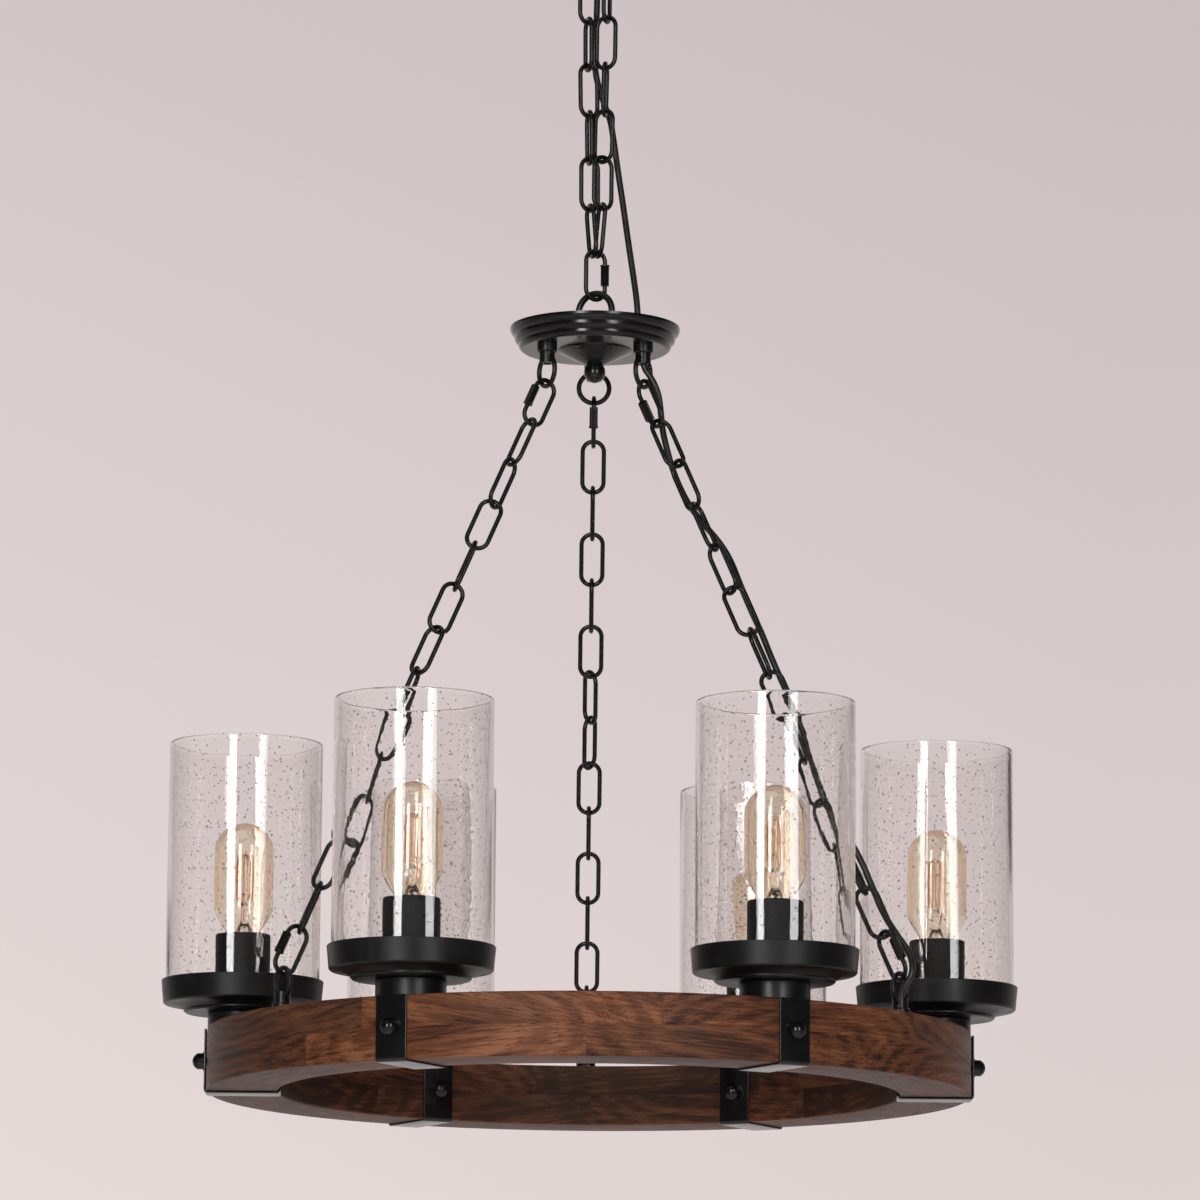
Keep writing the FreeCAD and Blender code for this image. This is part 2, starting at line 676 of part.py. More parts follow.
hanging_screw_links, hanging_nuts = [], []
for name, angle in chain_angles.items():
    links, screw_links, nuts = hanging_chain(name, angle)
    hanging_screw_links += screw_links
    hanging_nuts += nuts
    save("hanging_chain_" + name, links)
save("hanging_screw_links", hanging_screw_links)
save("hanging_screw_link_nuts", hanging_nuts)

# ---------------------------------------------------------------- timber rim
rim_foot = rim_top - rim_height
seam = rim_top - rim_height / 2
channel_floor = seam - channel_height / 2
channel_roof = seam + channel_height / 2
pocket_roof = rim_foot + nut_pocket_depth


def across_rim(shape, radius, angle, outward):
    """Turns a shape's Z axis to point outwards or inwards and puts it on the rim's screw line."""
    copy = shape.copy()
    copy.rotate(Vec(0, 0, 0), Vec(0, 1, 0), 90 if outward else -90)
    return placed(placed(copy, Vec(radius, 0, seam)), turn=angle)


screw_hole = placed(disc(screw_shank_diameter / 2, -screw_bite, 1), turn=30)
half_channel = channel_width / 2
rim_cutters = [across_rim(screw_hole, radius, angle, outward) for angle in lamp_angles
               for radius, outward in ((rim_radius, True), (rim_inner_radius, False))]
rim_cutters.append(tube(ring_line + half_channel, ring_line - half_channel, channel_floor, channel_roof))
for angle in lamp_angles:
    spot = polar(ring_line, angle)
    rim_cutters.append(disc(rod_hole, rim_foot - 1, rim_top + 1, spot.x, spot.y))
    rim_cutters.append(disc(nut_pocket_radius, rim_foot - 1, pocket_roof, spot.x, spot.y))
for angle in chain_angles.values():
    spot = polar(ring_line, angle)
    rim_cutters.append(disc(stud_hole, seam, rim_top + 1, spot.x, spot.y))


def stave(start_angle, bottom, top):
    """One curved stave between two joints."""
    sweep = 360.0 / staves_per_layer
    outer = Part.makeCylinder(rim_radius, top - bottom, Vec(0, 0, bottom), UP, sweep)
    inner = Part.makeCylinder(rim_inner_radius, top - bottom, Vec(0, 0, bottom), UP, sweep)
    return placed(outer.cut(inner), turn=start_angle)


def timber_layer(joint_angle, bottom, top):
    """Ring of staves with the channel and every hole cut in it."""
    step = 360.0 / staves_per_layer
    staves = [stave(joint_angle + i * step, bottom, top) for i in range(staves_per_layer)]
    return [cut_where_met(piece, rim_cutters) for piece in staves]


save("rim_upper_staves", timber_layer(upper_joint_angle, seam, rim_top))
save("rim_lower_staves", timber_layer(lower_joint_angle, rim_foot, seam))

rim_stud = rim_top - channel_roof + nut_height + stud_past_nut
rim_eyes, rim_nuts = [], []
for angle in chain_angles.values():
    spot = polar(ring_line, angle, rim_top)
    rim_eyes.append(placed(eye(rim_stud), spot, angle + 90))
    rim_nuts.append(placed(eye_nut, Vec(spot.x, spot.y, channel_roof - nut_height), angle))
save("rim_eyes", rim_eyes)

# ---------------------------------------------------------------- straps and their screws
half_strap = strap_width / 2
strap_outside = rim_radius + strap_gap + strap_thickness
strap_inside = math.sqrt(rim_inner_radius ** 2 - half_strap ** 2) - strap_inner_gap - strap_thickness
strap_foot = rim_foot - strap_thickness


def strap():
    """U of flat bar round the rim, open at the top, as it stands at angle 0."""
    length = strap_outside - strap_inside
    height = rim_top - strap_foot
    block = Part.makeBox(length, strap_width, height, Vec(strap_inside, -half_strap, strap_foot))
    hollow = Part.makeBox(length - 2 * strap_thickness, strap_width + 2, height + 2,
                          Vec(strap_inside + strap_thickness, -half_strap - 1, rim_foot))
    corners = [edge for edge in block.Edges if abs(edge.BoundBox.ZMin - strap_foot) < 1e-6
               and edge.BoundBox.YLength > strap_width - 1]
    bent = block.makeFillet(strap_bend, corners).cut(hollow)
    return bent.cut(Part.makeCylinder(screw_shank_diameter / 2 + hole_clearance, 2 * rim_radius,
                                      Vec(0, 0, seam), Vec(1, 0, 0)))


def strap_screw(inner_gap):
    """Screw with a squat domed head, its seat at Z = 0 and its shank below."""
    head = screw_head_diameter / 2
    shank = screw_bite + inner_gap + strap_thickness + screw_washer_thickness
    band_top = screw_head_height - screw_dome_height
    dome = (head ** 2 + screw_dome_height ** 2) / (2 * screw_dome_height)
    half_way = math.asin(head / dome) / 2
    body = screw_shank_diameter / 2
    return spun((0, -shank), (screw_point_diameter / 2, -shank), (body, screw_point_length - shank),
                (body, 0), (head, 0), (head, band_top),
                (dome * math.sin(half_way), screw_head_height - dome * (1 - math.cos(half_way)),
                 0, screw_head_height))


straps, strap_screws = [], []
washer = tube(screw_washer_diameter / 2, screw_shank_diameter / 2 + hole_clearance, 0, screw_washer_thickness)
for angle in lamp_angles:
    straps.append(placed(strap(), turn=angle))
    for radius, outward, gap in ((strap_outside, True, strap_gap), (strap_inside, False, strap_inner_gap)):
        seat = radius + (screw_washer_thickness if outward else -screw_washer_thickness)
        strap_screws.append(across_rim(washer, radius, angle, outward))
        strap_screws.append(across_rim(strap_screw(gap), seat, angle, outward))
save("rim_straps", straps)
save("strap_screws", strap_screws)

# ---------------------------------------------------------------- lamps, drawn at Z = 0 on the rim's top
cup_floor = cup_bottom_height + cup_wall
cup_top_radius = cup_bottom_radius + cup_flare
cup_top_height = cup_bottom_height + cup_wall_height
shade_radius = cup_bottom_radius - cup_wall - shade_clearance
floor_in_cup = neck_height + cup_wall
socket_seat = floor_in_cup + nut_height
bulb_foot = socket_top_height - bulb_depth_in_socket
bulb_top = bulb_foot + bulb_length
cap_top = bulb_foot + bulb_cap_length
contact_foot = bulb_foot - contact_height
wiring_z = channel_floor + wiring_diameter / 2 + 0.2
wiring_radius = ring_line + half_channel - wiring_margin


def lamp_neck():
    """Short drum between the rim and the cup, open below."""
    radius = neck_diameter / 2
    return spun((rod_hole, neck_height), (radius - 1, neck_height), (radius, neck_height - 1), (radius, 0),
                (radius - neck_wall, 0), (radius - neck_wall, neck_height - neck_wall),
                (rod_hole, neck_height - neck_wall))


def lamp_cup():
    """Spun cup that holds the glass, with a flat foot and a soft step under its wall."""
    step = cup_step_radius
    return spun((rod_hole, neck_height), (step, neck_height), (step + 1.4, neck_height + 1.2),
                (step + 1.4, neck_height + 2.2),
                (step + 8.0, neck_height + 5.6, cup_bottom_radius - 1.2, cup_bottom_height - 0.4),
                (cup_bottom_radius, cup_bottom_height + 0.8), (cup_top_radius, cup_top_height - 0.5),
                (cup_top_radius - 0.5, cup_top_height), (cup_top_radius - cup_wall, cup_top_height),
                (cup_bottom_radius - cup_wall, cup_floor), (step - 2.0, cup_floor),
                (step - 4.0, floor_in_cup), (rod_hole, floor_in_cup))


def socket_sleeve():
    """Plain sleeve that hides the socket, turned in at its top."""
    radius = socket_sleeve_diameter / 2
    inner = radius - socket_sleeve_wall
    turned_in = socket_top_height - socket_sleeve_wall
    return spun((inner, floor_in_cup), (radius, floor_in_cup), (radius, socket_top_height - 0.8),
                (radius - 0.8, socket_top_height), (socket_lip_radius, socket_top_height),
                (socket_lip_radius, turned_in), (inner, turned_in))


def socket_body():
    """Insulating socket with its bore for the lamp cap; the rod screws into its foot."""
    top = socket_top_height - socket_sleeve_wall
    body = disc(socket_body_diameter / 2, socket_seat, top)
    body = body.cut(disc(socket_bore_diameter / 2, contact_foot, top + 1))
    body = body.cut(disc(rod_diameter / 2 + nut_clearance, socket_seat - 1, socket_seat + socket_rod_depth))
    return body.cut(disc(lead_hole_diameter / 2, socket_seat, contact_foot + 1))


def socket_contact():
    """Spring tongue that the lamp's centre contact rests on."""
    return spun((0, contact_foot), (6.0, contact_foot), (6.0, contact_foot + 0.6), (2.6, contact_foot + 0.8),
                (2.2, bulb_foot), (0, bulb_foot))


def bulb_glass():
    """Tubular glass with a domed top and a waist into its cap."""
    neck = bulb_neck_diameter / 2
    outer = bulb_diameter / 2
    inner = outer - bulb_wall
    shoulder = cap_top + bulb_shoulder_height
    waist_r = (neck + outer) / 2 - 0.9
    waist_z = cap_top + 0.35 * bulb_shoulder_height
    dome = bulb_top - outer
    slant = math.sqrt(0.5)
    return spun((neck, cap_top - 2.0), (neck, cap_top), (waist_r, waist_z, outer, shoulder),
                (outer, dome), (outer * slant, dome + outer * slant, 0, bulb_top),
                (0, bulb_top - bulb_wall), (inner * slant, dome + inner * slant, inner, dome),
                (inner, shoulder), (waist_r - bulb_wall, waist_z, neck - bulb_wall, cap_top),
                (neck - bulb_wall, cap_top - 2.0))


def bulb_base():
    """Screw cap, its insulator and centre contact, and the glass stem that carries the filament."""
    cap = bulb_cap_diameter / 2
    insulator = bulb_foot + 3.4
    shell_top = cap_top - 2.0
    contact = spun((0, bulb_foot), (3.6, bulb_foot), (4.6, bulb_foot + 1.2), (cap - 4.0, insulator),
                   (0, insulator))
    shell = spun((0, insulator), (cap - 1.6, insulator), (cap, insulator + 1.8), (cap, shell_top),
                 (0, shell_top))
    stem = spun((0, shell_top), (9.0, shell_top), (6.0, shell_top + 6.0), (stem_radius, shell_top + 9.0),
                (stem_radius, cap_top + filament_start - 6.5), (1.6, cap_top + filament_start - 3.5),
                (1.6, cap_top + filament_start + 1.5), (0, cap_top + filament_start + 1.5))
    return shell.fuse(stem).fuse(contact)


def filament():
    """Cage of upright strips round the stem, joined by a small ring above and below."""
    low = cap_top + filament_start
    high = bulb_top - filament_below_top
    wire = filament_wire / 2
    angles = [(i + 0.5) * 360.0 / filament_strips for i in range(filament_strips)]
    pieces = []
    for angle in angles:
        spot = polar(filament_spread, angle)
        pieces.append(disc(wire, low, high, spot.x, spot.y))
        pieces.append(Part.makeCylinder(filament_spoke_wire / 2, filament_spread, Vec(0, 0, low),
                                        polar(1, angle)))
    pieces += [Part.makeTorus(filament_spread, filament_ring_wire / 2, Vec(0, 0, z)) for z in (low, high)]
    return pieces[0].multiFuse(pieces[1:])


def lamp_shade():
    """Straight glass cylinder, open at both ends, with rounded rims."""
    inner = shade_radius - shade_wall
    half = shade_wall / 2
    top = cup_floor + shade_height
    return spun((inner, cup_floor), (shade_radius, cup_floor), (shade_radius, top - half),
                (shade_radius - half, top, inner, top - half))


def lead(angle, diameter, top):
    """Wire from the ring in the channel that turns up through a bore on the ring line."""
    slant = lead_bend * (1 - math.sqrt(0.5))
    corner = ring_line + lead_bend
    across = Part.LineSegment(Vec(wiring_radius, 0, wiring_z), Vec(corner, 0, wiring_z)).toShape()
    bend = Part.Arc(Vec(corner, 0, wiring_z), Vec(ring_line + slant, 0, wiring_z + slant),
                    Vec(ring_line, 0, wiring_z + lead_bend)).toShape()
    rise = Part.LineSegment(Vec(ring_line, 0, wiring_z + lead_bend), Vec(ring_line, 0, top)).toShape()
    solid, _ = swept([across, bend, rise], diameter)
    return placed(solid, turn=angle)


lamp_rod_foot = rim_foot + lamp_rod_clearance - rim_top
lamp_rod_top = socket_seat + socket_rod_depth - lamp_rod_clearance
lamp_rod = tube(rod_diameter / 2, rod_bore / 2, lamp_rod_foot, lamp_rod_top)
side_hole_radius = lead_diameter / 2 + 0.3
side_hole = Part.makeCylinder(side_hole_radius, rod_diameter, Vec(0, 0, wiring_z - rim_top), Vec(1, 0, 0))
side_slot = Part.makeBox(rod_diameter, 2 * side_hole_radius, lead_slot_height,
                         Vec(0, -side_hole_radius, wiring_z - rim_top))
lamp_rod = lamp_rod.cut(side_hole.fuse(side_slot))
lock_nut = hexagon(rod_nut_across_flats, nut_height, rod_diameter)
washer_foot = pocket_roof - rim_top - pocket_washer_thickness
rod_nuts = [placed(lock_nut, Vec(0, 0, floor_in_cup)),
            placed(lock_nut, Vec(0, 0, washer_foot - nut_height)),
            tube(pocket_washer_radius, rod_hole, washer_foot, washer_foot + pocket_washer_thickness)]


def round_the_rim(shapes):
    """Copies of lamp parts at the six lamp places."""
    return [placed(shape, polar(ring_line, angle, rim_top), angle)
            for angle in lamp_angles for shape in shapes]


save("rim_nuts", rim_nuts + round_the_rim(rod_nuts))
save("lamp_necks", round_the_rim([lamp_neck()]))
save("lamp_rods", round_the_rim([lamp_rod]))
save("lamp_cups", round_the_rim([lamp_cup()]))
save("socket_bodies", round_the_rim([socket_body(), socket_contact()]))
save("socket_sleeves", round_the_rim([socket_sleeve()]))

glass, base, shade = bulb_glass(), bulb_base().fuse(filament()), lamp_shade()
for number, angle in enumerate(lamp_angles, start=1):
    where = polar(ring_line, angle, rim_top)
    save("bulb_%d_glass" % number, [placed(glass, where, angle)])
    save("bulb_%d_base" % number, [placed(base, where, angle)])
    save("shade_%d" % number, [placed(shade, where, angle)])

# ---------------------------------------------------------------- wiring and cords
drop_foot = drop_route[-1][2]
wiring = Part.makeTorus(wiring_radius, wiring_diameter / 2, Vec(0, 0, wiring_z))
wiring = wiring.fuse(lead(chain_angles["right"], wiring_diameter, drop_foot))
for angle in lamp_angles:
    wiring = wiring.fuse(lead(angle, lead_diameter, rim_top + contact_foot))
save("rim_wiring", [wiring])
save("supply_cord_upper", [cord_tube(supply_route_upper, "upper supply cord")])
save("supply_cord_lower", [cord_tube(supply_route_lower, "lower supply cord")])
save("drop_cord", [cord_tube(drop_route, "drop cord")])

print("rim top", round(rim_top, 2), "hub rim", round(hub_rim, 2), "hub foot", round(hub_foot, 2),
      "cover top", round(cover_top, 2), "splice foot", round(splice_start.z, 2))
print("top crown", top_crown, "hub crown", hub_crown, "chain span", round(chain_span, 2))
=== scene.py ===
"""Looks of a six-light chandelier with a timber rim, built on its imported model.

Lengths are metres and angles degrees unless a name says otherwise. The ceiling is Z = 0 and -Y is
the front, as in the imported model.
"""

import logging
import math
from dataclasses import dataclass, field
from enum import Enum

import bpy
import numpy as np
from mathutils import Matrix, Vector


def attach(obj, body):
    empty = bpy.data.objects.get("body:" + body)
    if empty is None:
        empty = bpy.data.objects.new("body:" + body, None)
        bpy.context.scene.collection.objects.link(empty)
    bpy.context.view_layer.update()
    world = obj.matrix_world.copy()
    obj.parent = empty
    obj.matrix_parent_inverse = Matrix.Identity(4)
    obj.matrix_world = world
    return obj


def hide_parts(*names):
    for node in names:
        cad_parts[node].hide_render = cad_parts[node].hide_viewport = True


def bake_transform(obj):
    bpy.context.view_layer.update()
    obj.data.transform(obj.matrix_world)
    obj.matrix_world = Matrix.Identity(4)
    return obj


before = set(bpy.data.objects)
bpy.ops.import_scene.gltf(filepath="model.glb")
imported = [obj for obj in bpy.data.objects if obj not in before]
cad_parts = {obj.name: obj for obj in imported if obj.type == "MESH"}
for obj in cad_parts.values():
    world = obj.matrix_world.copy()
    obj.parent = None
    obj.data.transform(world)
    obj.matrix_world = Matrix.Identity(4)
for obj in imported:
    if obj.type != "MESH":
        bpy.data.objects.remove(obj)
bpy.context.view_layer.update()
LAMPS = 6
RING_LINE = 0.2645    # radius of the circle that the lamps stand on
RIM_TOP = -0.96023    # height of the timber rim's upper face
RIM_HEIGHT = 0.047
Socket = bpy.types.NodeSocket
Material = bpy.types.Material
Colour = tuple[float, float, float, float]
Triple = tuple[float, float, float]
Route = tuple[Triple, ...]

logging.basicConfig(level=logging.INFO, format="%(message)s")
log = logging.getLogger("chandelier")


class Body(str, Enum):
    """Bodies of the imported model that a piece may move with."""

    CEILING = "ceiling_set"
    MAIN_CHAIN = "main_chain"
    WHEEL = "wheel"


class Slot(str, Enum):
    """Material slots of the record, listed for the scene's own pieces; no piece here is given one."""

    METAL = "black_metal"
    TIMBER = "timber"
    SHADE = "clear_glass"
    BULB = "amber_glass"
    CAP = "bulb_cap"
    CORD = "cord_sheath"


# ---------------------------------------------------------------- surfaces
@dataclass
class Surface:
    """One closed surface as whole arrays.

    Attributes:
        points: one row (x, y, z) per vertex.
        quads: four vertex numbers per face.
        uv: a map pair for each corner of each quad, in metres along the surface.
        caps: vertex numbers of the flat polygons that close its ends.
        marks: extra values per vertex, by attribute name.
    """

    points: np.ndarray
    quads: np.ndarray
    uv: np.ndarray
    caps: list[list[int]] = field(default_factory=list)
    marks: dict[str, np.ndarray] = field(default_factory=dict)

    def moved(self, turn: float = 0.0, shift: Triple = (0, 0, 0)) -> "Surface":
        """Copy turned about Z and then shifted.

        Args:
            turn: angle about Z.
            shift: distance along X, Y and Z.

        Returns:
            The copy; p' = R(turn) p + shift for every point.
        """
        a = math.radians(turn)
        turning = np.array([[math.cos(a), -math.sin(a), 0], [math.sin(a), math.cos(a), 0], [0, 0, 1]])
        points = self.points @ turning.T + np.array(shift, float)
        return Surface(points, self.quads, self.uv, self.caps, self.marks)


def joined(surfaces: list[Surface]) -> Surface:
    """Puts several surfaces into one, with their faces renumbered.

    Args:
        surfaces: at least one surface; all carry the same marks.

    Returns:
        One surface with the same points in the same order.
    """
    starts = np.cumsum([0] + [len(s.points) for s in surfaces[:-1]])
    caps = [[int(v + start) for v in cap] for s, start in zip(surfaces, starts) for cap in s.caps]
    marks = {key: np.concatenate([s.marks[key] for s in surfaces]) for key in surfaces[0].marks}
    return Surface(
        np.concatenate([s.points for s in surfaces]),
        np.concatenate([s.quads + start for s, start in zip(surfaces, starts)]),
        np.concatenate([s.uv for s in surfaces]),
        caps,
        marks,
    )


def quad_grid(rows: int, columns: int, ring_rows: bool, ring_columns: bool) -> np.ndarray:
    """Faces of a grid of points that is numbered row by row.

    Args:
        rows: number of rows of points.
        columns: number of points in a row.
        ring_rows: joins the last row to the first.
        ring_columns: joins the last column to the first.

    Returns:
        Four vertex numbers per face: (i, j), (i, j+1), (i+1, j+1), (i+1, j).
    """
    i = np.arange(rows if ring_rows else rows - 1)[:, None]
    j = np.arange(columns if ring_columns else columns - 1)[None, :]
    up, over = (i + 1) % rows, (j + 1) % columns
    corners = (i * columns + j, i * columns + over, up * columns + over, up * columns + j)
    return np.stack(corners, -1).reshape(-1, 4)


def grid_uv(along_rows: np.ndarray, along_columns: np.ndarray) -> np.ndarray:
    """Map pairs for the corners of a grid's faces.

    Args:
        along_rows: v at each row edge, one more than the rows of faces.
        along_columns: u at each column edge, one more than the columns of faces.

    Returns:
        (u, v) of every corner, in the order of quad_grid.
    """
    u, v = np.meshgrid(along_columns, along_rows)
    pair = np.stack([u, v], -1)
    return np.stack([pair[:-1, :-1], pair[:-1, 1:], pair[1:, 1:], pair[1:, :-1]], 2).reshape(-1, 4, 2)


def running_length(points: np.ndarray, ring: bool) -> np.ndarray:
    """Length along a line: the running sum of the distances between its points.

    Args:
        points: rows (x, y) or (x, y, z).
        ring: the line is closed.

    Returns:
        The length at each point, and once more at the start when the line is closed.
    """
    line = np.concatenate([points, points[:1]]) if ring else points
    return np.concatenate([[0.0], np.cumsum(np.linalg.norm(np.diff(line, axis=0), axis=1))])


def softened(corners: list[tuple[float, float]], ease: float, ring: bool = True,
             steps: int = 4) -> np.ndarray:
    """Section line with its corners eased.

    Each corner P is cut back by the same ease along both sides to A and C, and bridged by the
    curve (1-t)^2 A + 2t(1-t) P + t^2 C for t from 0 to 1.

    Args:
        corners: the line's corners.
        ease: how far from a corner its curve starts, at most 45% of the shorter side.
        ring: the line is closed; otherwise its two ends stay as they are.
        steps: points on each curve, less one.

    Returns:
        One row per point.
    """
    p = np.array(corners, float)
    before, after = np.roll(p, 1, 0) - p, np.roll(p, -1, 0) - p
    reach = np.minimum(np.linalg.norm(before, axis=1), np.linalg.norm(after, axis=1))
    cut = np.minimum(ease, 0.45 * reach)[:, None]
    a = p + before / np.linalg.norm(before, axis=1)[:, None] * cut
    c = p + after / np.linalg.norm(after, axis=1)[:, None] * cut
    t = np.linspace(0, 1, steps + 1)[None, :, None]
    curves = (1 - t) ** 2 * a[:, None] + 2 * t * (1 - t) * p[:, None] + t ** 2 * c[:, None]
    if ring:
        return curves.reshape(-1, 2)
    return np.concatenate([p[:1], curves[1:-1].reshape(-1, 2), p[-1:]])


def turned_on_axis(section: np.ndarray, segments: int, ring: bool = True) -> Surface:
    """Surface of revolution about Z.

    A section point (r, z) at angle t goes to (r cos t, r sin t, z). An outer wall's section runs
    upwards, so that its faces point outwards.

    Args:
        section: rows (r, z).
        segments: columns of faces round the axis.
        ring: the section is closed; otherwise flat caps close its two ends.

    Returns:
        The closed surface.
    """
    t = np.arange(segments) * 2 * np.pi / segments
    r, z = section[:, :1], section[:, 1:]
    points = np.stack([r * np.cos(t), r * np.sin(t), z + 0 * t], -1).reshape(-1, 3)
    rows = len(section)
    around = np.linspace(0, 2 * np.pi * section[:, 0].max(), segments + 1)
    uv = grid_uv(running_length(section, ring), around)
    last = (rows - 1) * segments
    caps = [] if ring else [list(range(segments))[::-1], list(range(last, last + segments))]
    return Surface(points, quad_grid(rows, segments, ring, True), uv, caps)


def carried(path: np.ndarray, across: np.ndarray, side: np.ndarray, section: np.ndarray) -> Surface:
    """Section carried along an open path.

    A section point (a, b) at a path point P with the unit vectors N and S goes to P + a N + b S.
    N, S and the path's direction are right-handed, and flat caps close both ends.

    Args:
        path: rows (x, y, z).
        across: unit vector N at each path point.
        side: unit vector S at each path point.
        section: closed section, counter-clockwise in (a, b).

    Returns:
        The closed surface.
    """
    points = (path[:, None] + section[None, :, :1] * across[:, None]
              + section[None, :, 1:] * side[:, None]).reshape(-1, 3)
    rows, columns = len(path), len(section)
    uv = grid_uv(running_length(path, False), running_length(section, True))
    last = (rows - 1) * columns
    caps = [list(range(columns))[::-1], list(range(last, last + columns))]
    return Surface(points, quad_grid(rows, columns, False, True), uv, caps)


def piece(name: str, surface: Surface, finish: Material, body: str,
          nodes: tuple[str, ...], crisp: float = 38.0) -> bpy.types.Object:
    """Makes a Blender piece from a surface and hangs it on its body.

    Args:
        name: the piece's name.
        surface: its shape, in place.
        finish: its material.
        body: the body that it moves with.
        nodes: CAD nodes that it stands for.
        crisp: edges that turn by more than this angle stay sharp.

    Returns:
        The new object.
    """
    mesh = bpy.data.meshes.new(name)
    mesh.from_pydata(surface.points.tolist(), [], surface.quads.tolist() + surface.caps)
    layer = mesh.uv_layers.new(name="surface_map")
    corners = np.zeros((len(mesh.loops), 2), np.float32)
    corners[: surface.quads.size] = surface.uv.reshape(-1, 2)
    layer.data.foreach_set("uv", corners.ravel())
    for key, values in surface.marks.items():
        kind, entry = ("FLOAT_VECTOR", "vector") if values.ndim == 2 else ("FLOAT", "value")
        mark = mesh.attributes.new(key, kind, "POINT")
        mark.data.foreach_set(entry, values.astype(np.float32).ravel())
    mesh.polygons.foreach_set("use_smooth", np.ones(len(mesh.polygons), bool))
    mesh.set_sharp_from_angle(angle=math.radians(crisp))
    mesh.materials.append(finish)
    mesh.update()
    thing = bpy.data.objects.new(name, mesh)
    bpy.context.scene.collection.objects.link(thing)
    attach(thing, body)
    if nodes:
        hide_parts(*nodes)
    log.info("piece %s: %d faces, on %s", name, len(mesh.polygons), body)
    return thing


def dress(finish: Material, *nodes: str) -> None:
    """Gives CAD nodes a finish through their objects' material slots.

    Args:
        finish: the material.
        nodes: names of the nodes.
    """
    for name in nodes:
        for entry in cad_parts[name].material_slots:
            entry.link = "OBJECT"
            entry.material = finish
        log.info("node %s: %s", name, finish.name)


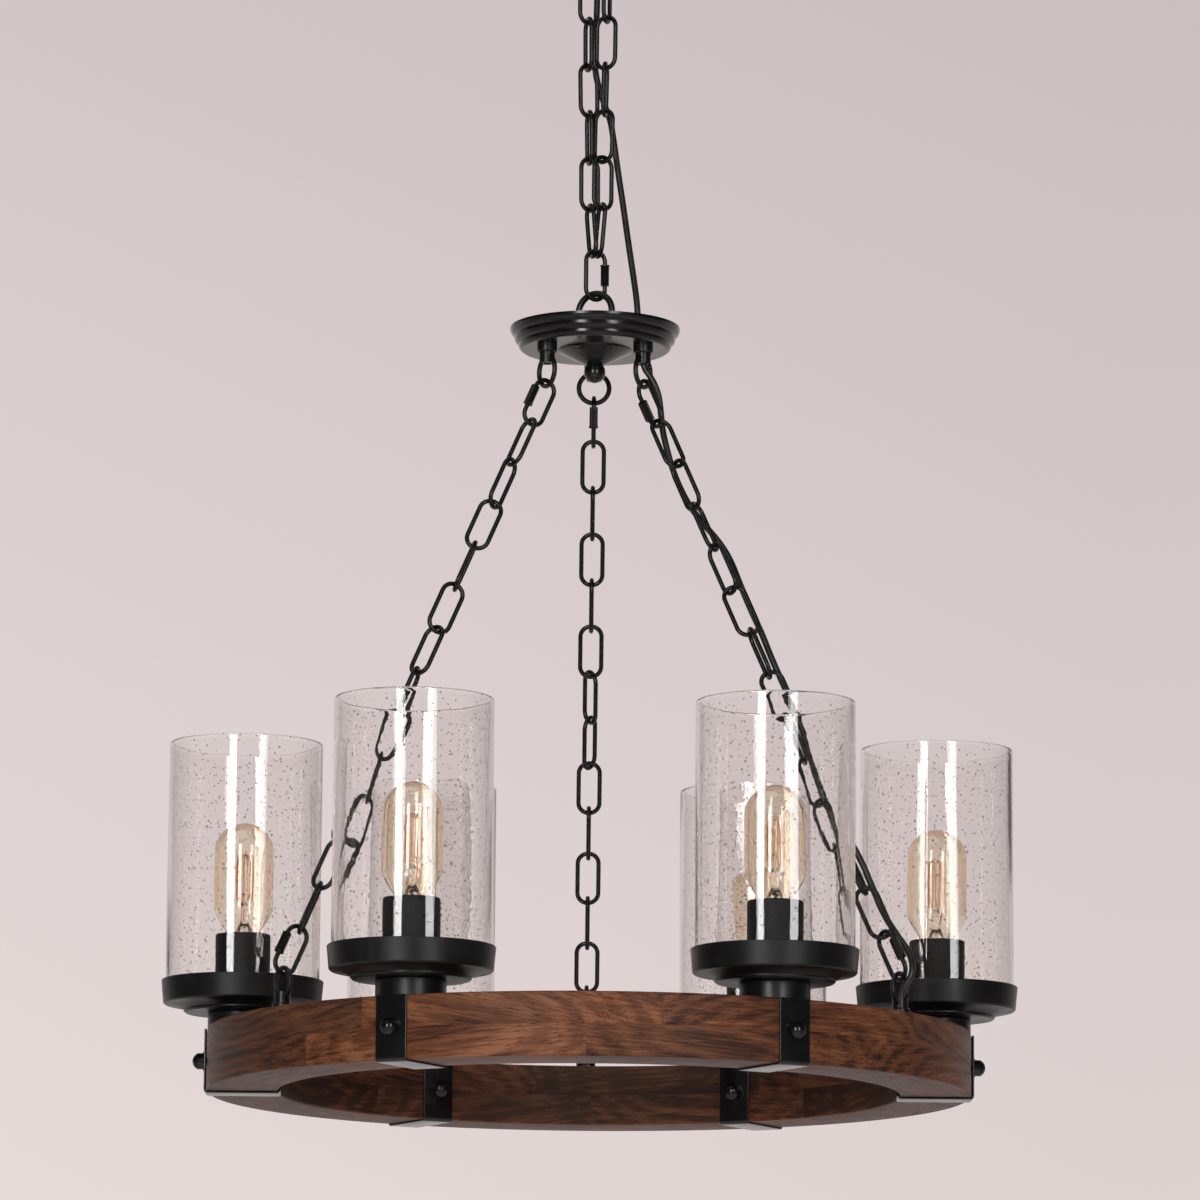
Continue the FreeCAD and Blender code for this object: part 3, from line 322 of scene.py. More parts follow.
# ---------------------------------------------------------------- finishes
class Graph:
    """Node tree of a material or of the world, with a short call for each kind of node."""

    def __init__(self, owner: Material | bpy.types.World) -> None:
        """Empties the owner's tree and adds its texture coordinates, kept as place."""
        self.owner = owner
        owner.use_nodes = True
        self.tree = owner.node_tree
        self.tree.nodes.clear()
        self.place = self.add("ShaderNodeTexCoord").outputs

    def add(self, kind: str, inputs: dict | None = None, **settings: object) -> bpy.types.Node:
        """Adds a node.

        Args:
            kind: the node's type.
            inputs: a value or an output to link, by the input's name or number.
            settings: the node's own properties.

        Returns:
            The node.
        """
        node = self.tree.nodes.new(kind)
        for key, value in settings.items():
            setattr(node, key, value)
        for key, value in (inputs or {}).items():
            if isinstance(value, Socket):
                self.tree.links.new(value, node.inputs[key])
            else:
                node.inputs[key].default_value = value
        return node

    def mark(self, name: str, output: str = "Fac") -> Socket:
        """A value that the mesh carries under that name."""
        return self.add("ShaderNodeAttribute", attribute_name=name).outputs[output]

    def noise(self, where: Socket, scale: float, detail: float = 3.0,
              roughness: float = 0.5, distortion: float = 0.0) -> Socket:
        """Noise between 0 and 1 over a position, with the node's own settings as arguments."""
        node = self.add("ShaderNodeTexNoise", {"Vector": where, "Scale": scale, "Detail": detail,
                                               "Roughness": roughness, "Distortion": distortion})
        return node.outputs["Fac"]

    def stretched(self, where: Socket, scale: Triple) -> Socket:
        """A position scaled along its axes."""
        return self.add("ShaderNodeMapping", {"Vector": where, "Scale": scale}).outputs["Vector"]

    def grain(self, where: Socket, scale: Triple, detail: float,
              roughness: float = 0.5, distortion: float = 0.0) -> Socket:
        """Noise whose cells are as many to the metre along each axis as scale says."""
        return self.noise(self.stretched(where, scale), 1, detail, roughness, distortion)

    def fit(self, value: Socket, low: float, high: float, to_low: float = 0.0,
            to_high: float = 1.0, kind: str = "SMOOTHSTEP") -> Socket:
        """Maps a value from one range to another and holds it there.

        Args:
            value: the value.
            low, high: the range that it comes from.
            to_low, to_high: the range that it goes to.
            kind: SMOOTHSTEP or LINEAR.

        Returns:
            The mapped value.
        """
        node = self.add("ShaderNodeMapRange", {"Value": value, "From Min": low, "From Max": high,
                                               "To Min": to_low, "To Max": to_high},
                        interpolation_type=kind)
        return node.outputs["Result"]

    def maths(self, kind: str, first: object, second: object = 0.0) -> Socket:
        """Result of one Math node."""
        return self.add("ShaderNodeMath", {0: first, 1: second}, operation=kind).outputs[0]

    def weighed(self, *parts: tuple[Socket, float]) -> Socket:
        """Sum of values, each times its own share.

        Args:
            parts: pairs of a value and its share.

        Returns:
            The sum.
        """
        total = self.maths("MULTIPLY", *parts[0])
        for part in parts[1:]:
            total = self.maths("ADD", total, self.maths("MULTIPLY", *part))
        return total

    def blend(self, share: object, first: object, second: object) -> Socket:
        """Mixes two colours.

        Args:
            share: of the second colour.
            first, second: the colours, or outputs that give them.

        Returns:
            The mixed colour.
        """
        return self.add("ShaderNodeMix", {0: share, 6: first, 7: second}, data_type="RGBA").outputs[2]

    def bump(self, height: Socket, depth: float, over: Socket | None = None) -> Socket:
        """Turns a height between 0 and 1 into a relief.

        Args:
            height: the height.
            depth: what a height of 1 stands for.
            over: the normal of an earlier relief that this one lies on.

        Returns:
            The normal.
        """
        inputs = {"Height": height, "Distance": depth, "Strength": 1.0}
        if over is not None:
            inputs["Normal"] = over
        return self.add("ShaderNodeBump", inputs).outputs["Normal"]

    def principled(self, **inputs: object) -> Socket:
        """Principled shader; an input's name has _ for each blank."""
        named = {key.replace("_", " "): value for key, value in inputs.items()}
        return self.add("ShaderNodeBsdfPrincipled", named).outputs[0]

    def glass(self, tint: Socket, normal: Socket, shadow: Colour) -> Material:
        """Ends the tree with glass that lamps shine through.

        Args:
            tint: colour of the glass.
            normal: its relief.
            shadow: what a lamp's light keeps of its colour on the way through one face.

        Returns:
            The owner.
        """
        body = self.principled(Base_Color=tint, Roughness=0.0, IOR=1.5, Transmission_Weight=1.0,
                               Normal=normal)
        open_way = self.add("ShaderNodeBsdfTransparent", {"Color": shadow}).outputs[0]
        lamp_ray = self.add("ShaderNodeLightPath").outputs["Is Shadow Ray"]
        return self.finish(self.either(lamp_ray, body, open_way))

    def either(self, share: Socket, first: Socket, second: Socket) -> Socket:
        """Mix of two shaders, by the share of the second."""
        return self.add("ShaderNodeMixShader", {0: share, 1: first, 2: second}).outputs[0]

    def rays(self) -> tuple[Socket, Socket]:
        """Tells apart the rays that meet what this tree shades.

        Returns:
            1 for the camera's rays and for those in gloss and glass, and 0 for those that light
            matt surfaces; then 1 for a ray that has been reflected on its way, and 0 for others.
        """
        path = self.add("ShaderNodeLightPath").outputs
        through = self.maths("MAXIMUM", path["Is Glossy Ray"], path["Is Transmission Ray"])
        seen = self.maths("MAXIMUM", path["Is Camera Ray"], through)
        return seen, self.maths("MINIMUM", path["Glossy Depth"], 1.0)

    def finish(self, shader: Socket) -> Material | bpy.types.World:
        """Ends the tree with its output and gives back its owner."""
        kind = "World" if isinstance(self.owner, bpy.types.World) else "Material"
        self.add(f"ShaderNodeOutput{kind}", {"Surface": shader})
        return self.owner


def material_graph(name: str) -> Graph:
    """Tree of a new material of that name."""
    return Graph(bpy.data.materials.new(name))


@dataclass(frozen=True)
class PowderCoat:
    """Black coat on steel: a fine skin, faint cloudy rub marks and, on spun work, turning lines.

    Attributes:
        name: the material's name.
        colour, worn: of the coat, and where it is rubbed.
        roughness, spread: in the middle, and how far the clouds take it either way.
        gloss: the shader's specular level, where 0.5 is plain lacquer.
        skin_size, skin_depth: of the coat's fine skin.
        turning_pitch, turning_depth: of the turning lines; no lines at pitch 0.
        cloud: clouds to the metre.
    """

    name: str = "satin_black_coat"
    colour: Colour = (0.0040, 0.0038, 0.0041, 1)
    worn: Colour = (0.0085, 0.0080, 0.0083, 1)
    roughness: float = 0.34
    spread: float = 0.06
    gloss: float = 0.42
    skin_size: float = 0.0009
    skin_depth: float = 6e-6
    turning_pitch: float = 0.0
    turning_depth: float = 1.2e-5
    cloud: float = 38.0

    def material(self) -> Material:
        """Builds the material.

        Returns:
            The material.
        """
        g = material_graph(self.name)
        where = g.place["Object"]
        cloud = g.noise(where, self.cloud, 4, 0.6, 0.4)
        skin = g.noise(where, 1 / self.skin_size, 2, 0.55)
        normal = g.bump(skin, self.skin_depth)
        if self.turning_pitch:
            lines = g.grain(where, (0, 0, 1 / self.turning_pitch), 4, 0.7)
            normal = g.bump(lines, self.turning_depth, normal)
        return g.finish(g.principled(
            Base_Color=g.blend(g.fit(cloud, 0.45, 0.8), self.colour, self.worn),
            Roughness=g.fit(cloud, 0.25, 0.75, self.roughness - self.spread, self.roughness + self.spread),
            Normal=normal, Specular_IOR_Level=self.gloss))


@dataclass(frozen=True)
class PlatedSteel:
    """Zinc or brass plate with drawn streaks and a light bloom.

    Attributes:
        name: the material's name.
        colour, dull: of the plate, and where it has bloomed.
        roughness: about its middle.
        bloom: patches of bloom to the metre.
        streaks: streaks to the metre along each axis.
        streak_depth: of the streaks.
    """

    name: str = "zinc_plate"
    colour: Colour = (0.62, 0.63, 0.65, 1)
    dull: Colour = (0.42, 0.43, 0.46, 1)
    roughness: float = 0.3
    bloom: float = 160.0
    streaks: Triple = (60, 60, 2600)
    streak_depth: float = 8e-6

    def material(self) -> Material:
        """Builds the material.

        Returns:
            The material.
        """
        g = material_graph(self.name)
        where = g.place["Object"]
        bloom = g.noise(where, self.bloom, 5, 0.6, 0.8)
        return g.finish(g.principled(
            Base_Color=g.blend(g.fit(bloom, 0.4, 0.7), self.colour, self.dull), Metallic=1.0,
            Roughness=g.fit(bloom, 0.3, 0.7, self.roughness - 0.08, self.roughness + 0.12),
            Normal=g.bump(g.grain(where, self.streaks, 3), self.streak_depth)))


@dataclass(frozen=True)
class Moulding:
    """Moulded plastic or flexible sheath with a fine eggshell surface.

    Attributes:
        name: the material's name.
        colour: where it is darkest.
        roughness: in its middle.
        skin_size, skin_depth: of its fine surface.
        cloud: clouds to the metre.
        pale: how many times lighter the clouds are.
        haze: what is added to them, so that black has clouds too.
    """

    name: str
    colour: Colour
    roughness: float = 0.5
    skin_size: float = 0.0006
    skin_depth: float = 2.0e-5
    cloud: float = 55.0
    pale: float = 1.25
    haze: float = 0.004

    def material(self) -> Material:
        """Builds the material.

        Returns:
            The material.
        """
        g = material_graph(self.name)
        where = g.place["Object"]
        cloud = g.noise(where, self.cloud, 3, 0.6, 0.3)
        paler = tuple(min(1.0, c * self.pale + self.haze) for c in self.colour[:3]) + (1.0,)
        return g.finish(g.principled(
            Base_Color=g.blend(g.fit(cloud, 0.35, 0.75), self.colour, paler),
            Roughness=g.fit(cloud, 0.3, 0.7, self.roughness - 0.06, self.roughness + 0.08),
            Normal=g.bump(g.noise(where, 1 / self.skin_size, 2), self.skin_depth)))


@dataclass(frozen=True)
class StainedTimber:
    """Dark stained hardwood, sawn from straight boards.

    It reads each vertex's place in its own board, with X along the grain, so that a curved stave
    shows the rings that its cut lays open. Two more marks give a stave its tone and its warmth; the
    tone mark also carries painted shade on the face towards the middle.

    Attributes:
        name: the material's name.
        dark, middle, light: of the stain, from the dense grain to the open grain.
        grey, greyness: what a stave without warmth turns to, and how far.
        pore, pore_share: colour of the pores, and how much of it shows.
        ring_pitch, ring_drift: distance between year rings, and how far the drift bends them.
        ring, band, fibre, smudge, tone: shares of the grain's layers in its lightness.
        to_middle, to_light: lightness over which dark turns to middle, and middle to light.
        drift_scale, band_scale, fibre_scale, pore_scale, smudge_scale: cells to the metre along
            the grain, across it and through it.
        fibre_depth, pore_depth: of the relief.
        gloss: the shader's specular level.
    """

    name: str = "stained_timber"
    dark: Colour = (0.030, 0.0115, 0.0068, 1)
    middle: Colour = (0.122, 0.0420, 0.0190, 1)
    light: Colour = (0.240, 0.0930, 0.0430, 1)
    grey: Colour = (0.075, 0.0420, 0.0270, 1)
    greyness: float = 0.62
    pore: Colour = (0.012, 0.0062, 0.0045, 1)
    pore_share: float = 0.72
    ring_pitch: float = 0.0065
    ring_drift: float = 14.0
    ring: float = 0.10
    band: float = 0.60
    fibre: float = 0.86
    smudge: float = 0.36
    tone: float = 0.5
    to_middle: tuple[float, float] = (0.76, 0.99)
    to_light: tuple[float, float] = (0.97, 1.22)
    drift_scale: Triple = (6, 22, 22)
    band_scale: Triple = (7, 44, 125)
    fibre_scale: Triple = (20, 170, 560)
    pore_scale: Triple = (80, 420, 1150)
    smudge_scale: Triple = (13, 24, 34)
    fibre_depth: float = 5e-5
    pore_depth: float = 6e-5
    gloss: float = 0.13

    def rings(self, g: Graph, board: Socket) -> Socket:
        """Year rings: a sine of the distance from the board's X axis, bent by a slow drift.

        Args:
            g: the material's tree.
            board: place in the board.

        Returns:
            A value between 0 and 1.
        """
        drift = g.grain(board, self.drift_scale, 2, 0.5, 0.3)
        parts = g.add("ShaderNodeSeparateXYZ", {"Vector": board}).outputs
        squares = [g.maths("MULTIPLY", parts[axis], parts[axis]) for axis in "YZ"]
        reach = g.maths("SQRT", g.maths("ADD", *squares))
        turns = g.weighed((reach, 2 * math.pi / self.ring_pitch), (drift, self.ring_drift))
        return g.fit(g.maths("SINE", turns), -0.9, 1.0)

    def material(self) -> Material:
        """Builds the material.

        Returns:
            The material.
        """
        g = material_graph(self.name)
        board = g.mark("board", "Vector")
        fibre = g.grain(board, self.fibre_scale, 5, 0.66, 0.25)
        pores = g.fit(g.grain(board, self.pore_scale, 2, 0.55, 0.2), 0.575, 0.68)
        # The tone mark holds each stave's tone and, on the rim's inner face, painted shade.
        lightness = g.weighed(
            (self.rings(g, board), self.ring), (g.grain(board, self.band_scale, 4, 0.62, 0.35), self.band),
            (fibre, self.fibre), (g.grain(board, self.smudge_scale, 3, 0.6, 0.8), self.smudge),
            (g.mark("tone"), self.tone))
        body = g.blend(g.fit(lightness, *self.to_middle), self.dark, self.middle)
        body = g.blend(g.fit(lightness, *self.to_light), body, self.light)
        body = g.blend(g.mark("warmth"), g.blend(self.greyness, body, self.grey), body)
        body = g.blend(g.maths("MULTIPLY", pores, self.pore_share), body, self.pore)
        relief = g.bump(fibre, self.fibre_depth)
        relief = g.bump(g.maths("MULTIPLY", pores, -1.0), self.pore_depth, relief)
        return g.finish(g.principled(Base_Color=body, Roughness=g.fit(fibre, 0.3, 0.7, 0.38, 0.54),
                                     Normal=relief, Specular_IOR_Level=self.gloss))


@dataclass(frozen=True)
class SeededGlass:
    """Clear blown glass with small seeds, soft vertical draws and a darker edge.

    The mark "inner" is 1 on the wall's inner face, which ripples more than the outer one and
    shows no seeds of its own. The map's v runs up the wall and u round it.

    Attributes:
        name: the material's name.
        clear, edge, edge_power: of the glass seen straight and edge on, and how narrow the edge is.
        seed, seed_share: colour of a seed, and how much of it shows.
        seeds: pitch of each kind of seed, and its size as a share of the pitch.
        squash: width of a seed as a share of its height.
        least, size_step: a seed's radius is size times size_step (least + a draw from 0 to 1).
        soft: share of the pitch over which a seed's border fades.
        draw_scale, draw_depth: of the vertical draws.
        ripple_scale, ripple_depth, outer_ripple: of the ripple, and its share on the outer face.
        shadow: what a lamp's light keeps of its colour on the way through one face.
    """

    name: str = "seeded_glass"
    clear: Colour = (1.0, 0.99, 0.98, 1)
    edge: Colour = (0.02, 0.015, 0.012, 1)
    edge_power: float = 4.2
    seed: Colour = (0.10, 0.09, 0.085, 1)
    seed_share: float = 0.88
    seeds: tuple[tuple[float, float], ...] = ((0.0076, 0.058), (0.0135, 0.043))
    squash: float = 0.92
    least: float = 0.7
    size_step: float = 0.8
    soft: float = 0.02
    draw_scale: Triple = (70, 4, 1)
    draw_depth: float = 2.0e-5
    ripple_scale: Triple = (250, 190, 1)
    ripple_depth: float = 2.2e-5
    outer_ripple: float = 0.12
    shadow: Colour = (0.93, 0.93, 0.92, 1)

    def scattered(self, g: Graph, flat: Socket, pitch: float, size: float) -> Socket:
        """Round seeds of one kind, one to a cell of a Voronoi pattern.

        Args:
            g: the material's tree.
            flat: place on the wall.
            pitch: of the cells.
            size: of a seed, as a share of the pitch.

        Returns:
            1 in a seed and 0 elsewhere.
        """
        cells = g.add("ShaderNodeTexVoronoi", {
            "Vector": g.stretched(flat, (1 / pitch, self.squash / pitch, 1)), "Scale": 1.0,
            "Randomness": 1.0}, voronoi_dimensions="2D").outputs
        draw = g.add("ShaderNodeSeparateColor", {"Color": cells["Color"]}).outputs["Red"]
        radius = g.maths("MULTIPLY", g.maths("ADD", draw, self.least), self.size_step * size)
        return g.fit(g.maths("SUBTRACT", cells["Distance"], radius), 0.0, self.soft, 1.0, 0.0)

    def material(self) -> Material:
        """Builds the material.

        Returns:
            The material.
        """
        g = material_graph(self.name)
        flat, inner = g.place["UV"], g.mark("inner")
        seeds = g.maths("MAXIMUM", *(self.scattered(g, flat, pitch, size) for pitch, size in self.seeds))
        seeds = g.maths("MULTIPLY", seeds, g.fit(inner, 0, 1, 1, 0))
        facing = g.add("ShaderNodeLayerWeight", {"Blend": 0.5}).outputs["Facing"]
        tint = g.blend(g.maths("POWER", facing, self.edge_power), self.clear, self.edge)
        tint = g.blend(g.maths("MULTIPLY", seeds, self.seed_share), tint, self.seed)
        normal = g.bump(g.grain(flat, self.draw_scale, 1, 0.4), self.draw_depth)
        ripple = g.maths("MULTIPLY", g.grain(flat, self.ripple_scale, 1, 0.4),
                         g.fit(inner, 0, 1, self.outer_ripple, 1.0))
        return g.glass(tint, g.bump(ripple, self.ripple_depth, normal), self.shadow)


@dataclass(frozen=True)
class AmberGlass:
    """Thin bulb glass with an amber wash that fades to clear at the neck.

    Attributes:
        name: the material's name.
        amber, deep, edge_power: of the wash seen straight and edge on, and how narrow the edge is.
        pale: of the neck.
        neck_height, full_height: above the rim, where the wash starts and where it is full.
        cloud, cloud_height: clouds to the metre in the wash's border, and how far they move it.
        wave, wave_depth: waves to the metre in the wall, and their depth.
        shadow: what a lamp's light keeps of its colour on the way through one face.
    """

    name: str = "amber_bulb_glass"
    amber: Colour = (1.0, 0.965, 0.89, 1)
    deep: Colour = (1.0, 0.66, 0.33, 1)
    edge_power: float = 1.9
    pale: Colour = (1.0, 0.97, 0.91, 1)
    neck_height: float = 0.078
    full_height: float = 0.108
    cloud: float = 60.0
    cloud_height: float = 0.01
    wave: float = 40.0
    wave_depth: float = 4e-5
    shadow: Colour = (0.93, 0.80, 0.58, 1)

    def material(self) -> Material:
        """Builds the material.

        Returns:
            The material.
        """
        g = material_graph(self.name)
        where = g.place["Object"]
        height = g.add("ShaderNodeSeparateXYZ", {"Vector": where}).outputs["Z"]
        cloud = g.noise(where, self.cloud, 2, 0.5, 0.5)
        level = g.maths("ADD", height, g.maths("MULTIPLY", cloud, self.cloud_height))
        wash = g.fit(level, RIM_TOP + self.neck_height, RIM_TOP + self.full_height)
        facing = g.add("ShaderNodeLayerWeight", {"Blend": 0.5}).outputs["Facing"]
        tint = g.blend(g.maths("POWER", facing, self.edge_power), self.amber, self.deep)
        wall = g.bump(g.noise(where, self.wave, 2), self.wave_depth)
        return g.glass(g.blend(wash, self.pale, tint), wall, self.shadow)


@dataclass(frozen=True)
class FilamentWire:
    """Unlit carbon-coloured filament wire, orange where it is thin.

    Attributes:
        name: the material's name.
        colour, dark: where it is thin, and where soot has settled.
        grain, grain_depth: specks to the metre, and their depth.
        roughness, metallic: of the wire.
    """

    name: str = "filament_wire"
    colour: Colour = (0.60, 0.24, 0.055, 1)
    dark: Colour = (0.30, 0.10, 0.03, 1)
    grain: float = 900.0
    grain_depth: float = 1e-5
    roughness: float = 0.38
    metallic: float = 0.4

    def material(self) -> Material:
        """Builds the material.

        Returns:
            The material.
        """
        g = material_graph(self.name)
        grain = g.noise(g.place["Object"], self.grain, 3)
        return g.finish(g.principled(Base_Color=g.blend(g.fit(grain, 0.4, 0.7), self.colour, self.dark),
                                     Roughness=self.roughness, Metallic=self.metallic,
                                     Normal=g.bump(grain, self.grain_depth)))


def made(finish: object) -> Material:
    """Field that holds a finish's material, which is made with its class."""
    return field(default_factory=finish.material)


@dataclass
class Finishes:
    """Every finish of the object, each made once, with the measures by which they differ."""

    coat: Material = made(PowderCoat())
    hub: Material = made(PowderCoat(
        "hub_black_enamel", roughness=0.19, spread=0.04, gloss=0.5, skin_depth=3e-6,
        turning_pitch=0.0007, turning_depth=4e-6))
    spun: Material = made(PowderCoat(
        "spun_black_coat", roughness=0.38, gloss=0.34, turning_pitch=0.00055))
    chain: Material = made(PowderCoat(
        "chain_black_coat", roughness=0.3, skin_size=0.0014, skin_depth=3e-6))
    strap: Material = made(PowderCoat(
        "strap_black_coat", roughness=0.2, spread=0.04, gloss=0.75, skin_size=0.0007, skin_depth=2e-6))
    sleeve: Material = made(PowderCoat(
        "sleeve_black_coat", (0.0045, 0.0045, 0.005, 1), roughness=0.55, gloss=0.2))
    zinc: Material = made(PlatedSteel())
    brass: Material = made(PlatedSteel(
        "bulb_cap_brass", (0.72, 0.52, 0.22, 1), (0.5, 0.34, 0.14, 1)))
    timber: Material = made(StainedTimber())
    shade: Material = made(SeededGlass())
    bulb: Material = made(AmberGlass())
    stem: Material = made(AmberGlass(
        "bulb_stem_glass", (0.95, 0.93, 0.88, 1), (0.7, 0.66, 0.6, 1)))
    filament: Material = made(FilamentWire())
    sheath: Material = made(Moulding(
        "black_cord_sheath", (0.010, 0.010, 0.0105, 1), 0.34, 0.0011, 2.5e-5))
    bush: Material = made(Moulding("black_bush_nylon", (0.014, 0.014, 0.014, 1), 0.42))
    block: Material = made(Moulding("white_splice_nylon", (0.70, 0.69, 0.65, 1)))
    socket: Material = made(Moulding("dark_socket_resin", (0.030, 0.026, 0.023, 1), 0.46))


# ---------------------------------------------------------------- sub-assemblies
@dataclass
class Cord:
    """One length of round black cord, hung on its own smooth line.

    Attributes:
        name: the piece's name.
        node: the CAD node that it stands for.
        route: control points of its line, in millimetres.
        length: its real length.
        diameter: its real diameter.
    """

    name: str
    node: str
    route: Route
    length: float
    diameter: float = 0.005

    def curve(self, radius: float) -> bpy.types.Object:
        """Makes the cord's curve.

        Args:
            radius: the cord's radius, or 0 for its bare line.

        Returns:
            The curve object, a NURBS spline of order 3 through to both of its ends.
        """
        line = bpy.data.curves.new(self.name, "CURVE")
        line.dimensions = "3D"
        line.bevel_depth = radius
        line.bevel_resolution = 5
        line.use_fill_caps = radius > 0
        spline = line.splines.new("NURBS")
        spline.points.add(len(self.route) - 1)
        places = np.concatenate([np.array(self.route) / 1000, np.ones((len(self.route), 1))], 1)
        spline.points.foreach_set("co", places.ravel())
        spline.order_u = 3
        spline.use_endpoint_u = True
        spline.resolution_u = 8
        thing = bpy.data.objects.new(self.name, line)
        bpy.context.scene.collection.objects.link(thing)
        return thing

    def as_mesh(self, curve: bpy.types.Object) -> bpy.types.Mesh:
        """Takes the mesh of a curve object, and removes the curve.

        Args:
            curve: the curve object.

        Returns:
            The mesh.
        """
        scene_state = bpy.context.evaluated_depsgraph_get()
        mesh = bpy.data.meshes.new_from_object(curve.evaluated_get(scene_state))
        line = curve.data
        bpy.data.objects.remove(curve)
        bpy.data.curves.remove(line)
        return mesh

    def tube(self, finish: Material) -> tuple[bpy.types.Object, np.ndarray]:
        """Makes the cord as a mesh tube.

        Args:
            finish: its material.

        Returns:
            The piece and the points that its line follows.
        """
        bare = self.as_mesh(self.curve(0.0))
        path = np.zeros(len(bare.vertices) * 3)
        bare.vertices.foreach_get("co", path)
        mesh = self.as_mesh(self.curve(self.diameter / 2))
        mesh.name = self.name
        mesh.materials.clear()
        mesh.materials.append(finish)
        mesh.polygons.foreach_set("use_smooth", np.ones(len(mesh.polygons), bool))
        mesh.set_sharp_from_angle(angle=math.radians(60))
        thing = bpy.data.objects.new(self.name, mesh)
        bpy.context.scene.collection.objects.link(thing)
        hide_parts(self.node)
        return thing, path.reshape(-1, 3)

    def start(self) -> Triple:
        """Where the cord leaves, in metres."""
        return tuple(x / 1000 for x in self.route[0])


@dataclass
class Cords:
    """Supply cord in two lengths behind the main chain, and the drop cord to the rim.

    Attributes:
        upper, lower, drop: the cords.
        upper_bend, lower_bend: where each supply length would start and stop taking up the swing; only
        whether they are set is read, and a length that has them hangs on no body.
    """

    upper: Cord = field(default_factory=lambda: Cord("supply_cord_upper_run", "supply_cord_upper", (
        (0, 17, -11), (0, 17, -29), (2.6, 17.6, -43), (3.6, 15.6, -59), (1.4, 13.4, -84),
        (-0.4, 13.6, -115), (-0.2, 13.2, -149), (-1.2, 13.7, -173), (-2.0, 13.5, -197),
        (0.6, 13.3, -213), (6.2, 13.0, -229.5), (10.8, 12.2, -241.5), (13.0, 11.5, -255),
        (15.1, 10.4, -270)), 0.2618))
    lower: Cord = field(default_factory=lambda: Cord("supply_cord_lower_run", "supply_cord_lower", (
        (15.1, 10.4, -270), (17.2, 9.3, -285), (20.9, 6.5, -309.5), (25.2, 2.5, -341),
        (29.7, -3.0, -372), (32.0, -7.4, -389.5), (33, -9, -403.3), (33, -9, -417.48)), 0.1502))
    drop: Cord = field(default_factory=lambda: Cord("drop_cord_run", "drop_cord", (
        (37.1, -21.4, -421.63), (37.1, -21.4, -433.5), (37.3, -21.5, -446), (43.2, -22.8, -454),
        (49, -22.5, -466), (51, -20.9, -480.5), (52.3, -21.2, -495.5), (55.5, -25, -510),
        (59.5, -26.2, -525), (65.2, -27.1, -540), (73, -30.5, -556), (83.5, -34, -570.5),
        (95, -39.5, -584.5), (104, -47.5, -600), (111.5, -53.5, -621), (119.5, -57.5, -641),
        (128.2, -62.6, -661), (135.5, -68.5, -681.5), (145.5, -72.5, -704.5), (155, -79, -726.5),
        (162, -83.5, -748), (172.5, -87, -772.5), (182, -93.5, -795), (190, -100, -818),
        (201.5, -105.5, -839.5), (210.5, -110, -862.5), (217.5, -114, -880.5), (226.2, -119.6, -895.5),
        (234, -127.5, -907.5), (238, -133.5, -917.5), (238, -136.5, -928), (233, -134.4, -936.5),
        (229.1, -132.2, -945), (229.1, -132.2, -954.2)), 0.5944))
    upper_bend: Route = ((0, 0.017, -0.029), (0, 0.0136, -0.115))
    lower_bend: Route = ((0.0151, 0.0104, -0.27), (0.033, -0.009, -0.4))

    def build(self, finishes: Finishes) -> None:
        """Args:
            finishes: the object's finishes.
        """
        for cord, ends, bend in ((self.upper, (Body.CEILING, Body.MAIN_CHAIN), self.upper_bend),
                                 (self.lower, (Body.MAIN_CHAIN, Body.WHEEL), self.lower_bend),
                                 (self.drop, (Body.WHEEL,), None)):
            thing, path = cord.tube(finishes.sheath)
            if bend:
                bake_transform(thing)
            else:
                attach(thing, ends[0].value)
            cord.start()
            log.info("cord %s: %.4f m", cord.name, cord.length)


